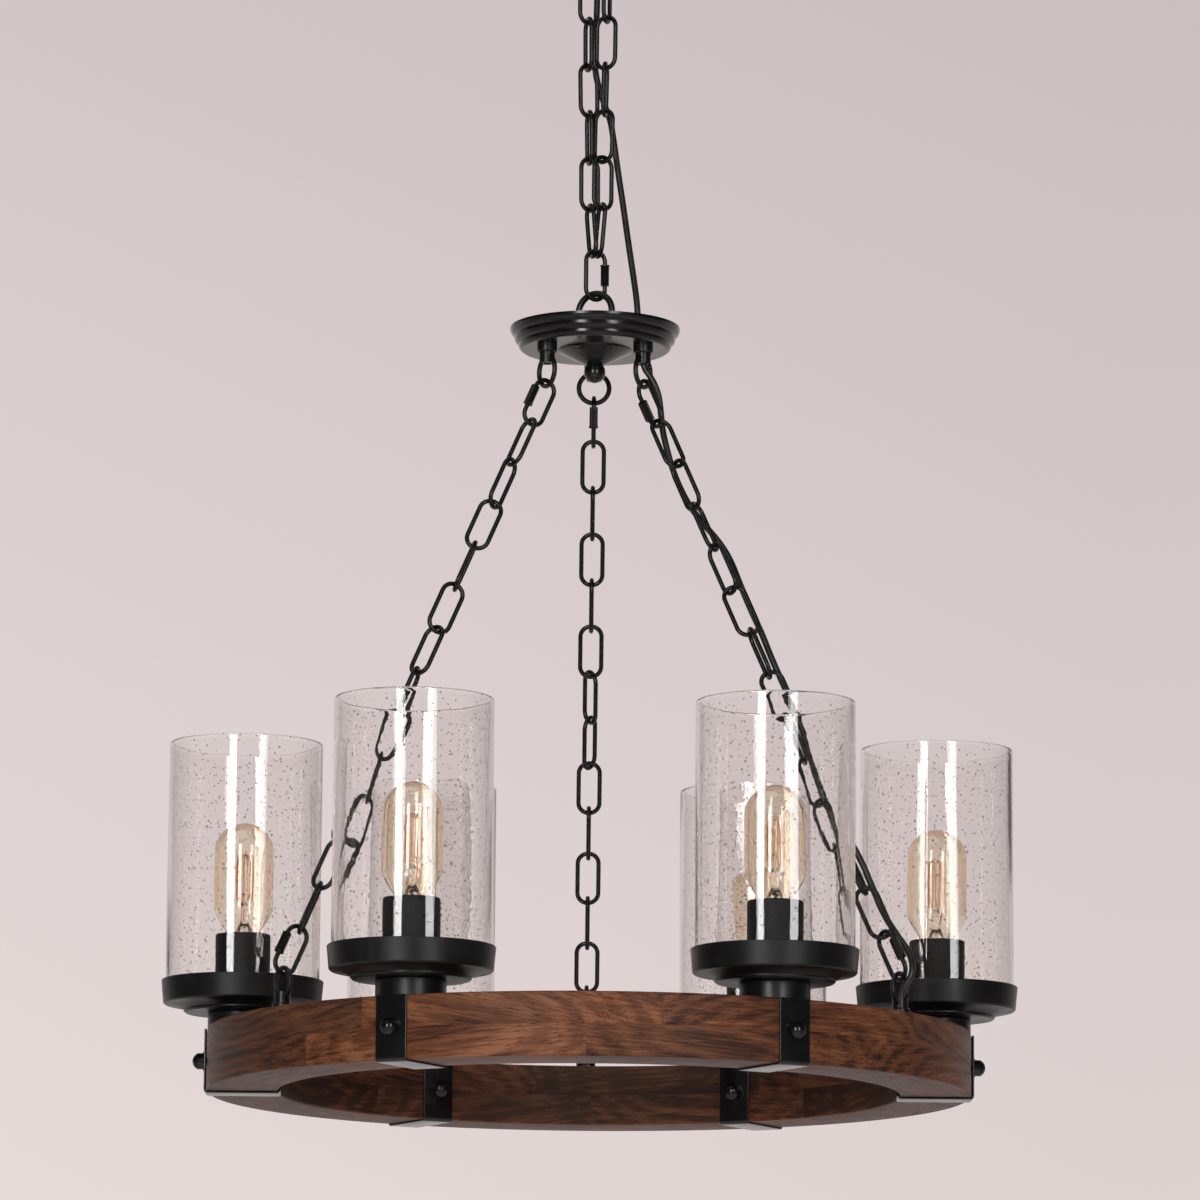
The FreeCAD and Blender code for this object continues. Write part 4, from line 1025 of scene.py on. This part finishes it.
@dataclass
class TimberRim:
    """Two layers of curved staves, sawn from straight boards and butt-jointed.

    Attributes:
        radius: outer radius.
        width: radial width.
        height: of both layers together.
        staves: in each layer.
        upper_joint: angle of the upper layer's first joint.
        lower_joint: angle of the lower layer's first joint.
        arris: how far the outer edges are eased.
        seam_ease: how far the edges at the glue line are eased.
        inner_painted_shade: painted shade, how much darker the face towards the middle is painted.
        steps: faces along a stave.
        board_step: distance along the grain from one stave's piece of board to the next.
        pith_depth: how far outside the rim a board's pith lies.
        pith_spread: how far it may lie off that place, across the board and upright.
        twist: how much of the grain's slope also shows across the board.
        upper_tones, lower_tones: tone of each stave, from the first joint on.
        upper_warmth, lower_warmth: warmth of each stave.
        upper_tilts, lower_tilts: slope of each stave's grain.
    """

    radius: float = 0.29
    width: float = 0.054
    height: float = RIM_HEIGHT
    staves: int = 8
    upper_joint: float = 279.7
    lower_joint: float = 269.0
    arris: float = 0.0014
    seam_ease: float = 0.00012
    inner_painted_shade: float = 0.25
    steps: int = 28
    board_step: float = 0.9
    pith_depth: float = 0.03
    pith_spread: tuple[float, float] = (0.02, 0.05)
    twist: float = 0.5
    upper_tones: tuple[float, ...] = (-0.02, -0.06, 0.14, -0.05, 0.10, 0.0, -0.10, 0.12)
    lower_tones: tuple[float, ...] = (-0.08, -0.04, -0.05, 0.12, 0.02, -0.08, -0.06, 0.14)
    upper_warmth: tuple[float, ...] = (0.95, 0.6, 0.7, 0.5, 0.8, 0.6, 0.55, 0.85)
    lower_warmth: tuple[float, ...] = (0.8, 0.9, 0.6, 0.7, 0.5, 0.8, 0.75, 1.0)
    upper_tilts: tuple[float, ...] = (3.0, -5.0, 9.0, -3.0, 6.0, -8.0, 4.0, -11.0)
    lower_tilts: tuple[float, ...] = (-4.0, 6.0, -7.0, 3.0, -9.0, 5.0, -2.0, 4.0)

    def section(self, bottom: float, top: float, upper: bool) -> np.ndarray:
        """Section of a layer.

        Args:
            bottom: its lowest height.
            top: its highest height.
            upper: the layer lies above the glue line.

        Returns:
            Rows (r, z), counter-clockwise; its edges are eased as softened says.
        """
        inner, middle = self.radius - self.width, (bottom + top) / 2
        low_ease, high_ease = (self.seam_ease, self.arris) if upper else (self.arris, self.seam_ease)
        low = softened([(inner, middle), (inner, bottom), (self.radius, bottom), (self.radius, middle)],
                       low_ease, ring=False)
        high = softened([(self.radius, middle), (self.radius, top), (inner, top), (inner, middle)],
                        high_ease, ring=False)
        return np.concatenate([low[:-1], high[:-1]])

    def stave(self, start: float, section: np.ndarray, seed: int, tone: float, warmth: float,
              tilt: float) -> Surface:
        """One stave from a joint to the next.

        A section point (r, z) at angle t goes to (r cos t, r sin t, z). Its place in the board is
        (r sin(t - m), r cos(t - m), z) about the stave's middle angle m, sloped by the tilt and
        shifted to a piece of board of its own.

        Args:
            start: angle of its first joint.
            section: rows (r, z).
            seed: picks the piece of board.
            tone: lighter above 0.
            warmth: from 0, grey, to 1, red-brown.
            tilt: slope of the grain.

        Returns:
            The closed surface with its marks.
        """
        span = 360.0 / self.staves
        t = np.radians(np.linspace(start, start + span, self.steps + 1))[:, None]
        r, z = section[None, :, 0], section[None, :, 1]
        points = np.stack([r * np.cos(t), r * np.sin(t), z + 0 * t], -1).reshape(-1, 3)
        middle = math.radians(start + span / 2)
        along, deep = (r * np.sin(t - middle)).ravel(), (r * np.cos(t - middle)).ravel() - self.radius
        level = (z + 0 * t).ravel() - (RIM_TOP - self.height / 2)
        slope = math.radians(tilt)
        draw = np.random.default_rng(100 + seed)
        pith = [draw.uniform(-spread, spread) for spread in self.pith_spread]
        board = np.stack([along * math.cos(slope) + level * math.sin(slope) + self.board_step * seed,
                          deep + (pith[0] - self.pith_depth) + along * math.tan(slope) * self.twist,
                          level * math.cos(slope) - along * math.sin(slope) + pith[1]], -1)
        rows, columns = len(t), len(section)
        uv = grid_uv(np.linspace(0, math.radians(span) * self.radius, rows), running_length(section, True))
        last = (rows - 1) * columns
        caps = [list(range(columns)), list(range(last, last + columns))[::-1]]
        quads = quad_grid(rows, columns, False, True)[:, ::-1]
        # Painted shade: the face towards the middle has its tone lowered by inner_painted_shade.
        inside = (r + 0 * t).ravel() < self.radius - self.width + 1e-6
        marks = {"board": board, "tone": tone - self.inner_painted_shade * inside,
                 "warmth": np.full(len(points), warmth)}
        return Surface(points, quads, uv[:, ::-1], caps, marks)

    def layer(self, upper: bool) -> Surface:
        """Makes all staves of one layer.

        Args:
            upper: the layer lies above the glue line.

        Returns:
            The closed surfaces as one.
        """
        seam = RIM_TOP - self.height / 2
        bottom, top = (seam, RIM_TOP) if upper else (RIM_TOP - self.height, seam)
        joint = self.upper_joint if upper else self.lower_joint
        looks = zip(*((self.upper_tones, self.upper_warmth, self.upper_tilts) if upper
                      else (self.lower_tones, self.lower_warmth, self.lower_tilts)))
        section = self.section(bottom, top, upper)
        first = 0 if upper else self.staves
        return joined([self.stave(joint + i * 360.0 / self.staves, section, first + i, *look)
                       for i, look in enumerate(looks)])

    def build(self, finishes: Finishes) -> None:
        """Makes both layers and dresses the hardware in them.

        Args:
            finishes: the object's finishes.
        """
        piece("upper_staves_timber", self.layer(True), finishes.timber, Body.WHEEL.value,
              ("rim_upper_staves",))
        piece("lower_staves_timber", self.layer(False), finishes.timber, Body.WHEEL.value,
              ("rim_lower_staves",))
        dress(finishes.zinc, "rim_nuts")
        dress(finishes.coat, "rim_eyes")
        dress(finishes.sheath, "rim_wiring")


@dataclass
class Straps:
    """Six U-bent flat bars round the rim, with their edges softened, and their screws.

    Attributes:
        width, thickness: of the bar.
        outside: radius of the bar's outer face.
        inside: radius of the bar's inner face, towards the rim's middle.
        foot: lowest height of the bar.
        bend: outer radius of its two bends.
        edge: how far the bar's edges are softened.
    """

    width: float = 0.0255
    thickness: float = 0.0016
    outside: float = 0.2922
    inside: float = 0.233755
    foot: float = RIM_TOP - RIM_HEIGHT - thickness
    bend: float = 0.003
    edge: float = 0.00042

    def bar(self) -> Surface:
        """One strap at angle 0.

        The bar's middle line goes down the outer side, across below and up the inner side, with a
        quarter circle at each bend, and carries the bar's section.

        Returns:
            The closed surface.
        """
        half, turn = self.thickness / 2, self.bend - self.thickness / 2
        out, inn, low = self.outside - half, self.inside + half, self.foot + half
        q = np.radians(np.linspace(0, 90, 9))
        first = np.stack([out - turn + turn * np.cos(q), low + turn - turn * np.sin(q)], -1)
        second = np.stack([inn + turn - turn * np.sin(q), low + turn - turn * np.cos(q)], -1)
        line = np.concatenate([[[out, RIM_TOP]], first, second, [[inn, RIM_TOP]]])
        normals = np.concatenate([[[1, 0]], np.stack([np.cos(q), -np.sin(q)], -1),
                                  np.stack([-np.sin(q), -np.cos(q)], -1), [[-1, 0]]])
        flat = np.zeros(len(line))
        path = np.stack([line[:, 0], flat, line[:, 1]], -1)
        across = np.stack([normals[:, 0], flat, normals[:, 1]], -1)
        side = np.tile([0.0, 1.0, 0.0], (len(line), 1))
        w = self.width / 2
        section = softened([(-half, -w), (half, -w), (half, w), (-half, w)], self.edge, steps=3)
        return carried(path, across, side, section)

    def build(self, finishes: Finishes) -> None:
        """Makes the six straps and dresses their screws.

        Args:
            finishes: the object's finishes.
        """
        bars = joined([self.bar().moved(turn=60.0 * i) for i in range(LAMPS)])
        piece("flat_bar_straps", bars, finishes.strap, Body.WHEEL.value, ("rim_straps",))
        dress(finishes.hub, "strap_screws")


@dataclass
class Lamp:
    """Glass cylinder, bulb and the bulb's inside, drawn at Z = 0 on the rim's top.

    Attributes:
        shade_radius, shade_wall, shade_foot, shade_height: of the glass cylinder.
        sway: how far the blown wall wanders from a true cylinder.
        bulb_foot: height of the bulb's contact.
        cap_radius, cap_length, cap_tuck: of the screw cap, and how far the glass comes down in it.
        thread_pitch, thread_depth: of the cap's rolled thread.
        cage_radius: of the filament's cage.
        cage_low, cage_high: heights of the filament's ends.
        wire: diameter of the filament.
        runs: how often the filament goes up and down.
        gap: angle in radians between the cage's start or end and the X axis.
        sharpness: power that makes the filament's runs long and its bends short.
        pinch: share of its radius by which the cage narrows at both ends.
        lead_height, lead_side: where the leads leave the stem, above the cap and off the middle.
        bead: radius of the stem's bead, where the supports start.
        support_wire, support_rise: radius of a support, and how far it arches.
    """

    shade_radius: float = 0.0586
    shade_wall: float = 0.003
    shade_foot: float = 0.0214
    shade_height: float = 0.199
    sway: float = 0.00016
    bulb_foot: float = 0.049
    cap_radius: float = 0.013
    cap_length: float = 0.027
    cap_tuck: float = 0.002
    thread_pitch: float = 0.0036
    thread_depth: float = 0.0006
    cage_radius: float = 0.0062
    cage_low: float = 0.0985
    cage_high: float = 0.1345
    wire: float = 0.00055
    runs: int = 7
    gap: float = 0.12
    sharpness: float = 0.45
    pinch: float = 0.12
    lead_height: float = 0.0075
    lead_side: tuple[float, float] = (0.0024, 0.0008)
    bead: float = 0.0012
    support_wire: float = 0.00018
    support_rise: float = 0.0012

    def shade(self, seed: int) -> Surface:
        """Blown glass cylinder with a slightly wandering wall.

        A section point (r, z) at angle t goes out to r + sway times a sum of three slow waves
        sin(k t + m z + p), whose numbers k and m differ for the outer and the inner wall.

        Args:
            seed: sets the waves' starts p.

        Returns:
            The closed surface.
        """
        inner, outer = self.shade_radius - self.shade_wall, self.shade_radius
        low, high = self.shade_foot, self.shade_foot + self.shade_height
        levels = np.linspace(low + 0.004, high - 0.004, 40)[:, None]
        ends = softened([(inner, low), (outer, low), (outer, high), (inner, high)], 0.0013, steps=5)
        count = len(ends) // 4
        section = np.concatenate([ends[:2 * count], np.hstack([0 * levels + outer, levels]),
                                  ends[2 * count:], np.hstack([0 * levels + inner, levels[::-1]])])
        surface = turned_on_axis(section, 144)
        starts = np.random.default_rng(seed).uniform(0, 2 * np.pi, (2, 3))
        t = np.arctan2(surface.points[:, 1], surface.points[:, 0])
        r = np.hypot(surface.points[:, 0], surface.points[:, 1])
        z = surface.points[:, 2]
        outside = (r > (inner + outer) / 2).astype(float)
        waves = sum(outside * np.sin(k * t + m * z + starts[0, i])
                    + (1 - outside) * np.sin((k + 2) * t - m * z + starts[1, i])
                    for i, (k, m) in enumerate(((2, 14), (5, -22), (9, 9))))
        quiet = np.clip((z - low) / 0.02, 0, 1)
        grown = 1 + self.sway * waves * quiet / r / 3
        surface.points[:, 0] *= grown
        surface.points[:, 1] *= grown
        surface.marks["inner"] = 1 - outside
        return surface

    def cap(self) -> Surface:
        """Screw cap with a rolled thread, an insulating foot and a centre contact.

        The thread moves the shell in by depth (1 - cos(2 pi z / pitch - t)) / 2, fading at both ends.

        Returns:
            The closed surface.
        """
        foot, top = self.bulb_foot, self.bulb_foot + self.cap_length - self.cap_tuck
        shell = np.linspace(foot + 0.0052, top, 58)
        base = softened([(0.0003, foot), (0.0036, foot), (0.0046, foot + 0.0012), (0.009, foot + 0.0034),
                         (0.0114, foot + 0.0034), (self.cap_radius, foot + 0.0052)], 0.0005, ring=False)
        section = np.concatenate([base[:-1], np.stack([0 * shell + self.cap_radius, shell], -1),
                                  [[0.0003, top]]])
        surface = turned_on_axis(section, 64, ring=False)
        t = np.arctan2(surface.points[:, 1], surface.points[:, 0])
        z = surface.points[:, 2]
        r = np.hypot(surface.points[:, 0], surface.points[:, 1])
        fade = (np.clip((z - foot - 0.006) / 0.003, 0, 1) * np.clip((top - z - 0.002) / 0.003, 0, 1)
                * (r > 0.012))
        dip = self.thread_depth * (1 - np.cos(2 * np.pi * z / self.thread_pitch - t)) / 2 * fade
        surface.points[:, :2] *= (1 - dip / np.maximum(r, 1e-6))[:, None]
        return surface

    def stem(self) -> Surface:
        """Pressed glass stem: a flare, a pinched neck and a rod with a bead on top.

        Returns:
            The closed surface.
        """
        top = self.bulb_foot + self.cap_length - self.cap_tuck
        section = softened([(0.0003, top), (0.0066, top), (0.0050, top + 0.005), (0.0031, top + 0.0085),
                            (0.0026, top + 0.018), (0.0034, top + 0.0205), (0.0013, top + 0.0235),
                            (0.0013, self.cage_high - 0.0015), (0.0022, self.cage_high),
                            (0.0003, self.cage_high + 0.0016)], 0.0012, ring=False)
        return turned_on_axis(section, 40, ring=False)

    def filament(self) -> Surface:
        """Squirrel-cage filament: one wire up and down round a ring, and its two leads.

        The wire's line is at radius c and angle t, and at the height low + (high - low)
        (1 - cos(n t)) / 2 sharpened to long runs; a round section is carried along it.

        Returns:
            The closed surface.
        """
        t = np.linspace(self.gap, 2 * np.pi - self.gap, 60 * self.runs)
        swing = np.cos(self.runs * t)
        share = 0.5 - 0.5 * np.sign(swing) * np.abs(swing) ** self.sharpness
        z = self.cage_low + (self.cage_high - self.cage_low) * share
        radius = self.cage_radius * (1 - self.pinch * (2 * share - 1) ** 4)
        line = np.stack([radius * np.cos(t), radius * np.sin(t), z], -1)
        lead_foot = self.bulb_foot + self.cap_length + self.lead_height
        out, side = self.lead_side
        first = np.linspace((out, side, lead_foot), line[0], 8)[:-1]
        last = np.linspace(line[-1], (out, -side, lead_foot), 8)[1:]
        return self.wired(np.concatenate([first, line, last]), self.wire / 2)

    def supports(self) -> list[Surface]:
        """Fine wires from the stem's bead to the cage's upper bends, at four angles.

        Returns:
            A closed surface for each wire.
        """
        found = []
        share = np.linspace(0, 1, 9)[:, None]
        height = self.cage_high - 0.0008 + self.support_rise * np.sin(np.pi * share)
        for angle in (26.0, 116.0, 206.0, 296.0):
            a = math.radians(angle)
            out = np.array([math.cos(a), math.sin(a), 0])
            line = (out * (self.bead + (self.cage_radius - self.bead) * share)
                    + np.array([0, 0, 1]) * height)
            found.append(self.wired(line, self.support_wire))
        return found

    def wired(self, line: np.ndarray, radius: float) -> Surface:
        """Round wire along a line, with frames from the line's direction and the Z axis.

        Args:
            line: rows (x, y, z).
            radius: of the wire.

        Returns:
            The closed surface.
        """
        ahead = np.gradient(line, axis=0)
        ahead /= np.linalg.norm(ahead, axis=1)[:, None]
        outward = line * [1, 1, 0] + [1e-6, 0, 0]
        across = outward - (outward * ahead).sum(1)[:, None] * ahead
        across /= np.linalg.norm(across, axis=1)[:, None]
        side = np.cross(ahead, across)
        q = np.arange(6) * np.pi / 3
        return carried(line, across, side, radius * np.stack([np.cos(q), np.sin(q)], -1))

    def build(self, number: int, finishes: Finishes) -> None:
        """Makes one lamp's glass and bulb.

        Args:
            number: of the lamp, from 1.
            finishes: the object's finishes.
        """
        angle = (number - 1) * 360.0 / LAMPS
        a = math.radians(angle)
        where = (RING_LINE * math.cos(a), RING_LINE * math.sin(a), RIM_TOP)
        glass_body, bulb_body = f"glass_cylinder_{number}", f"bulb_{number}"
        piece(f"shade_{number}_glass", self.shade(number).moved(angle, where), finishes.shade,
              glass_body, (f"shade_{number}",))
        piece(f"bulb_{number}_cap", self.cap().moved(angle, where), finishes.brass, bulb_body,
              (f"bulb_{number}_base",))
        piece(f"bulb_{number}_stem", self.stem().moved(angle, where), finishes.stem, bulb_body,
              ())
        wires = joined([self.filament()] + self.supports())
        piece(f"bulb_{number}_filament", wires.moved(angle + 17 * number, where), finishes.filament,
              bulb_body, ())
        dress(finishes.bulb, f"bulb_{number}_glass")


@dataclass
class Metalwork:
    """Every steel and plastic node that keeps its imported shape.

    Attributes:
        enamelled, smooth, chain, zinc: the nodes of each finish that several share.
    """

    enamelled: tuple[str, ...] = ("ceiling_canopy", "hub_dish", "hub_cover", "hub_cone", "hub_ball")
    smooth: tuple[str, ...] = ("canopy_loop", "hub_loop", "hub_eyes", "lamp_necks")
    chain: tuple[str, ...] = (
        "main_chain_left", "main_chain_right", "main_screw_link_top", "main_screw_link_hub",
        "main_screw_link_nuts", "hanging_chain_left", "hanging_chain_right", "hanging_chain_back",
        "hanging_screw_links", "hanging_screw_link_nuts")
    zinc: tuple[str, ...] = ("ceiling_crossbar", "canopy_threaded_rod", "canopy_nuts", "hub_tie_rod",
                             "hub_nuts", "lamp_rods")

    def build(self, finishes: Finishes) -> None:
        """Dresses the nodes.

        Args:
            finishes: the object's finishes.
        """
        dress(finishes.hub, *self.enamelled)
        dress(finishes.spun, "lamp_cups")
        dress(finishes.coat, *self.smooth)
        dress(finishes.chain, *self.chain)
        dress(finishes.zinc, *self.zinc)
        dress(finishes.sleeve, "socket_sleeves")
        dress(finishes.socket, "socket_bodies")
        dress(finishes.bush, "canopy_cord_bush", "hub_cord_bush")
        dress(finishes.block, "canopy_splice_block", "hub_splice_block")


# ---------------------------------------------------------------- studio
@dataclass
class Studio:
    """Pale room light, two tall strip lamps that only gloss shows, soft lamps and a pale floor.

    Attributes:
        high, low: backdrop colour above and below.
        rise: upward part of the directions between which the one turns into the other.
        facing: backward part of the directions between which the dim front half turns bright.
        lean: how much brighter the backdrop is at the left of the view than in its middle.
        view_half: sideways part of the direction to the view's edge.
        room, room_colour: how strongly the room lights the object, and the light's colour.
        dim: how bright the room's front half looks in gloss, where the back half is 1.
        strips: azimuth, width, height, middle height and brightness of each strip lamp.
        reach: distance of the strip lamps.
        key: brightness of the wide lamp in front.
        back: share of it that the lamp behind has.
        front_place, back_place, wide: middle and size of these two, which face wide_aim.
        top, top_place, top_size, top_aim: the same for the lamp above.
        floor_height, floor_half: of the floor.
        ground: the floor's two colours.
        fill: how much paler the floor looks than these lamps alone make it.
        fill_range: distances behind the object over which reflections come to see that too.
        lens, sensor, clip: the camera's focal length and sensor width in millimetres, and the
            distances between which it sees.
        eye: place of the camera.
        yaw, pitch, roll: how it is turned to the right, up and clockwise.
    """

    high: Colour = (0.613, 0.535, 0.558, 1)
    low: Colour = (0.775, 0.686, 0.674, 1)
    rise: tuple[float, float] = (0.07, 0.27)
    facing: tuple[float, float] = (0.35, 0.92)
    lean: float = 0.045
    view_half: float = 0.09
    room: float = 0.27
    room_colour: Colour = (0.98, 0.985, 1.0, 1)
    dim: float = 0.06
    strips: tuple[tuple[float, float, float, float, float], ...] = (
        (-20.0, 0.86, 3.2, 0.05, 11.0), (24.5, 0.95, 3.2, 0.05, 7.0))
    reach: float = 5.0
    key: float = 0.72
    back: float = 0.45
    front_place: Triple = (0.2, -5.2, -1.0)
    back_place: Triple = (-0.2, 5.2, -0.6)
    wide: tuple[float, float] = (3.2, 0.6)
    wide_aim: Triple = (0, 0, -1)
    top: float = 0.9
    top_place: Triple = (-0.8, -0.9, 2.6)
    top_size: float = 2.6
    top_aim: Triple = (0, 0, -0.85)
    floor_height: float = -3.6
    floor_half: float = 40.0
    ground: tuple[Colour, Colour] = ((0.80, 0.735, 0.73, 1), (0.83, 0.765, 0.76, 1))
    fill: float = 0.5
    fill_range: tuple[float, float] = (1.0, 9.0)
    lens: float = 196.14
    sensor: float = 36.0
    clip: tuple[float, float] = (0.1, 200.0)
    eye: Triple = (-0.0499, -4.9579, -1.4964)
    yaw: float = 0.64
    pitch: float = 9.97
    roll: float = 0.45

    def backdrop(self) -> None:
        """Makes the world: a soft gradient for what sees it, and plainer light for the object.

        A ray that has been reflected sees a dim front half, as in a room with its windows behind;
        a ray that has only gone through glass sees the plain gradient.
        """
        g = Graph(bpy.data.worlds.new("pale_room"))
        seen, mirrored = g.rays()
        towards = g.add("ShaderNodeSeparateXYZ", {"Vector": g.place["Generated"]}).outputs
        wall = g.blend(g.fit(towards["Z"], *self.rise, kind="LINEAR"), self.low, self.high)
        front = g.fit(towards["Y"], *self.facing, self.dim, 1.0, "LINEAR")
        across = g.fit(towards["X"], -self.view_half, self.view_half, 1 + self.lean, 1 - self.lean, "LINEAR")
        level = g.add("ShaderNodeMix", {0: mirrored, 2: 1.0, 3: front}).outputs[0]
        shown = g.add("ShaderNodeBackground", {"Color": wall, "Strength": g.maths("MULTIPLY", level, across)})
        light = g.add("ShaderNodeBackground", {"Color": self.room_colour, "Strength": self.room})
        bpy.context.scene.world = g.finish(g.either(seen, light.outputs[0], shown.outputs[0]))

    def lamp(self, name: str, where: Vector, aim: Vector, size: tuple[float, float], brightness: float,
             gloss_only: bool = False, in_gloss: bool = True) -> None:
        """Adds one flat lamp.

        Args:
            name: its name.
            where: its middle.
            aim: the point that it faces.
            size: its width across and its height.
            brightness: of its face, where 1 is white.
            gloss_only: it shows in gloss and glass, and lights no matt surface.
            in_gloss: it shows in gloss and through glass.
        """
        data = bpy.data.lights.new(name, "AREA")
        data.shape = "RECTANGLE"
        data.size, data.size_y = size
        data.energy = brightness * math.pi * size[0] * size[1]
        thing = bpy.data.objects.new(name, data)
        bpy.context.scene.collection.objects.link(thing)
        thing.matrix_world = Matrix.LocRotScale(where, (aim - where).to_track_quat("-Z", "Y"), None)
        thing.visible_camera = False
        thing.visible_diffuse = not gloss_only
        thing.visible_glossy = thing.visible_transmission = in_gloss

    def floor(self) -> None:
        """Lays the floor, a wide pale matt plane with a faint mottle, clear when seen from below."""
        half, z = self.floor_half, self.floor_height
        mesh = bpy.data.meshes.new("studio_floor")
        mesh.from_pydata([(-half, -half, z), (half, -half, z), (half, half, z), (-half, half, z)], [],
                         [(0, 1, 2, 3)])
        g = material_graph("pale_floor")
        where = g.place["Object"]
        colour = g.blend(g.noise(where, 2.0, 3), *self.ground)
        seen, mirrored = g.rays()
        behind = g.add("ShaderNodeSeparateXYZ", {"Vector": where}).outputs["Y"]
        lit = g.maths("MAXIMUM", g.fit(behind, *self.fill_range), g.maths("SUBTRACT", 1.0, mirrored))
        glow = g.add("ShaderNodeEmission", {
            "Color": colour, "Strength": g.maths("MULTIPLY", g.maths("MULTIPLY", lit, seen), self.fill)})
        ground = g.add("ShaderNodeAddShader", {0: g.principled(Base_Color=colour, Roughness=0.9),
                                               1: glow.outputs[0]})
        clear = g.add("ShaderNodeBsdfTransparent", {"Color": (1, 1, 1, 1)})
        below = g.add("ShaderNodeNewGeometry").outputs["Backfacing"]
        mesh.materials.append(g.finish(g.either(below, ground.outputs[0], clear.outputs[0])))
        thing = bpy.data.objects.new("studio_floor", mesh)
        bpy.context.scene.collection.objects.link(thing)

    def camera(self) -> None:
        """Places the camera as the photograph was taken: far off, low and looking up."""
        data = bpy.data.cameras.new("photo_camera")
        data.lens, data.sensor_width = self.lens, self.sensor
        data.clip_start, data.clip_end = self.clip
        yaw, pitch, roll = math.radians(self.yaw), math.radians(self.pitch), math.radians(self.roll)
        ahead = Vector((math.sin(yaw) * math.cos(pitch), math.cos(yaw) * math.cos(pitch), math.sin(pitch)))
        level = Vector((math.cos(yaw), -math.sin(yaw), 0))
        above = level.cross(ahead)
        right = level * math.cos(roll) + above * math.sin(roll)
        up = right.cross(ahead)
        thing = bpy.data.objects.new("photo_camera", data)
        bpy.context.scene.collection.objects.link(thing)
        turn = Matrix((right, up, -ahead)).transposed()
        thing.matrix_world = Matrix.Translation(self.eye) @ turn.to_4x4()
        bpy.context.scene.camera = thing

    def build(self) -> None:
        """Sets up light, floor and camera, and lets rays through many walls of glass."""
        scene = bpy.context.scene
        scene.view_settings.view_transform = "Standard"
        scene.cycles.max_bounces = 32
        scene.cycles.transmission_bounces = 28
        scene.cycles.transparent_max_bounces = 32
        self.backdrop()
        self.floor()
        self.camera()
        for number, (azimuth, width, height, level, brightness) in enumerate(self.strips, start=1):
            a = math.radians(azimuth)
            where = Vector((self.reach * math.sin(a), -self.reach * math.cos(a), level))
            self.lamp(f"strip_lamp_{number}", where, Vector((0, 0, level)), (width, height), brightness,
                      gloss_only=True)
        for name, place, share in (("front_lamp", self.front_place, 1.0),
                                   ("back_lamp", self.back_place, self.back)):
            where = Vector(place)
            brightness = share * math.pi * self.key * where.length_squared / (self.wide[0] * self.wide[1])
            self.lamp(name, where, Vector(self.wide_aim), self.wide, brightness, in_gloss=False)
        self.lamp("top_lamp", Vector(self.top_place), Vector(self.top_aim), (self.top_size,) * 2, self.top)


def main() -> None:
    """Builds every sub-assembly in order."""
    Studio().build()
    finishes = Finishes()
    Cords().build(finishes)
    Metalwork().build(finishes)
    TimberRim().build(finishes)
    Straps().build(finishes)
    lamp = Lamp()
    for number in range(1, LAMPS + 1):
        lamp.build(number, finishes)


if __name__ == "__main__":
    main()
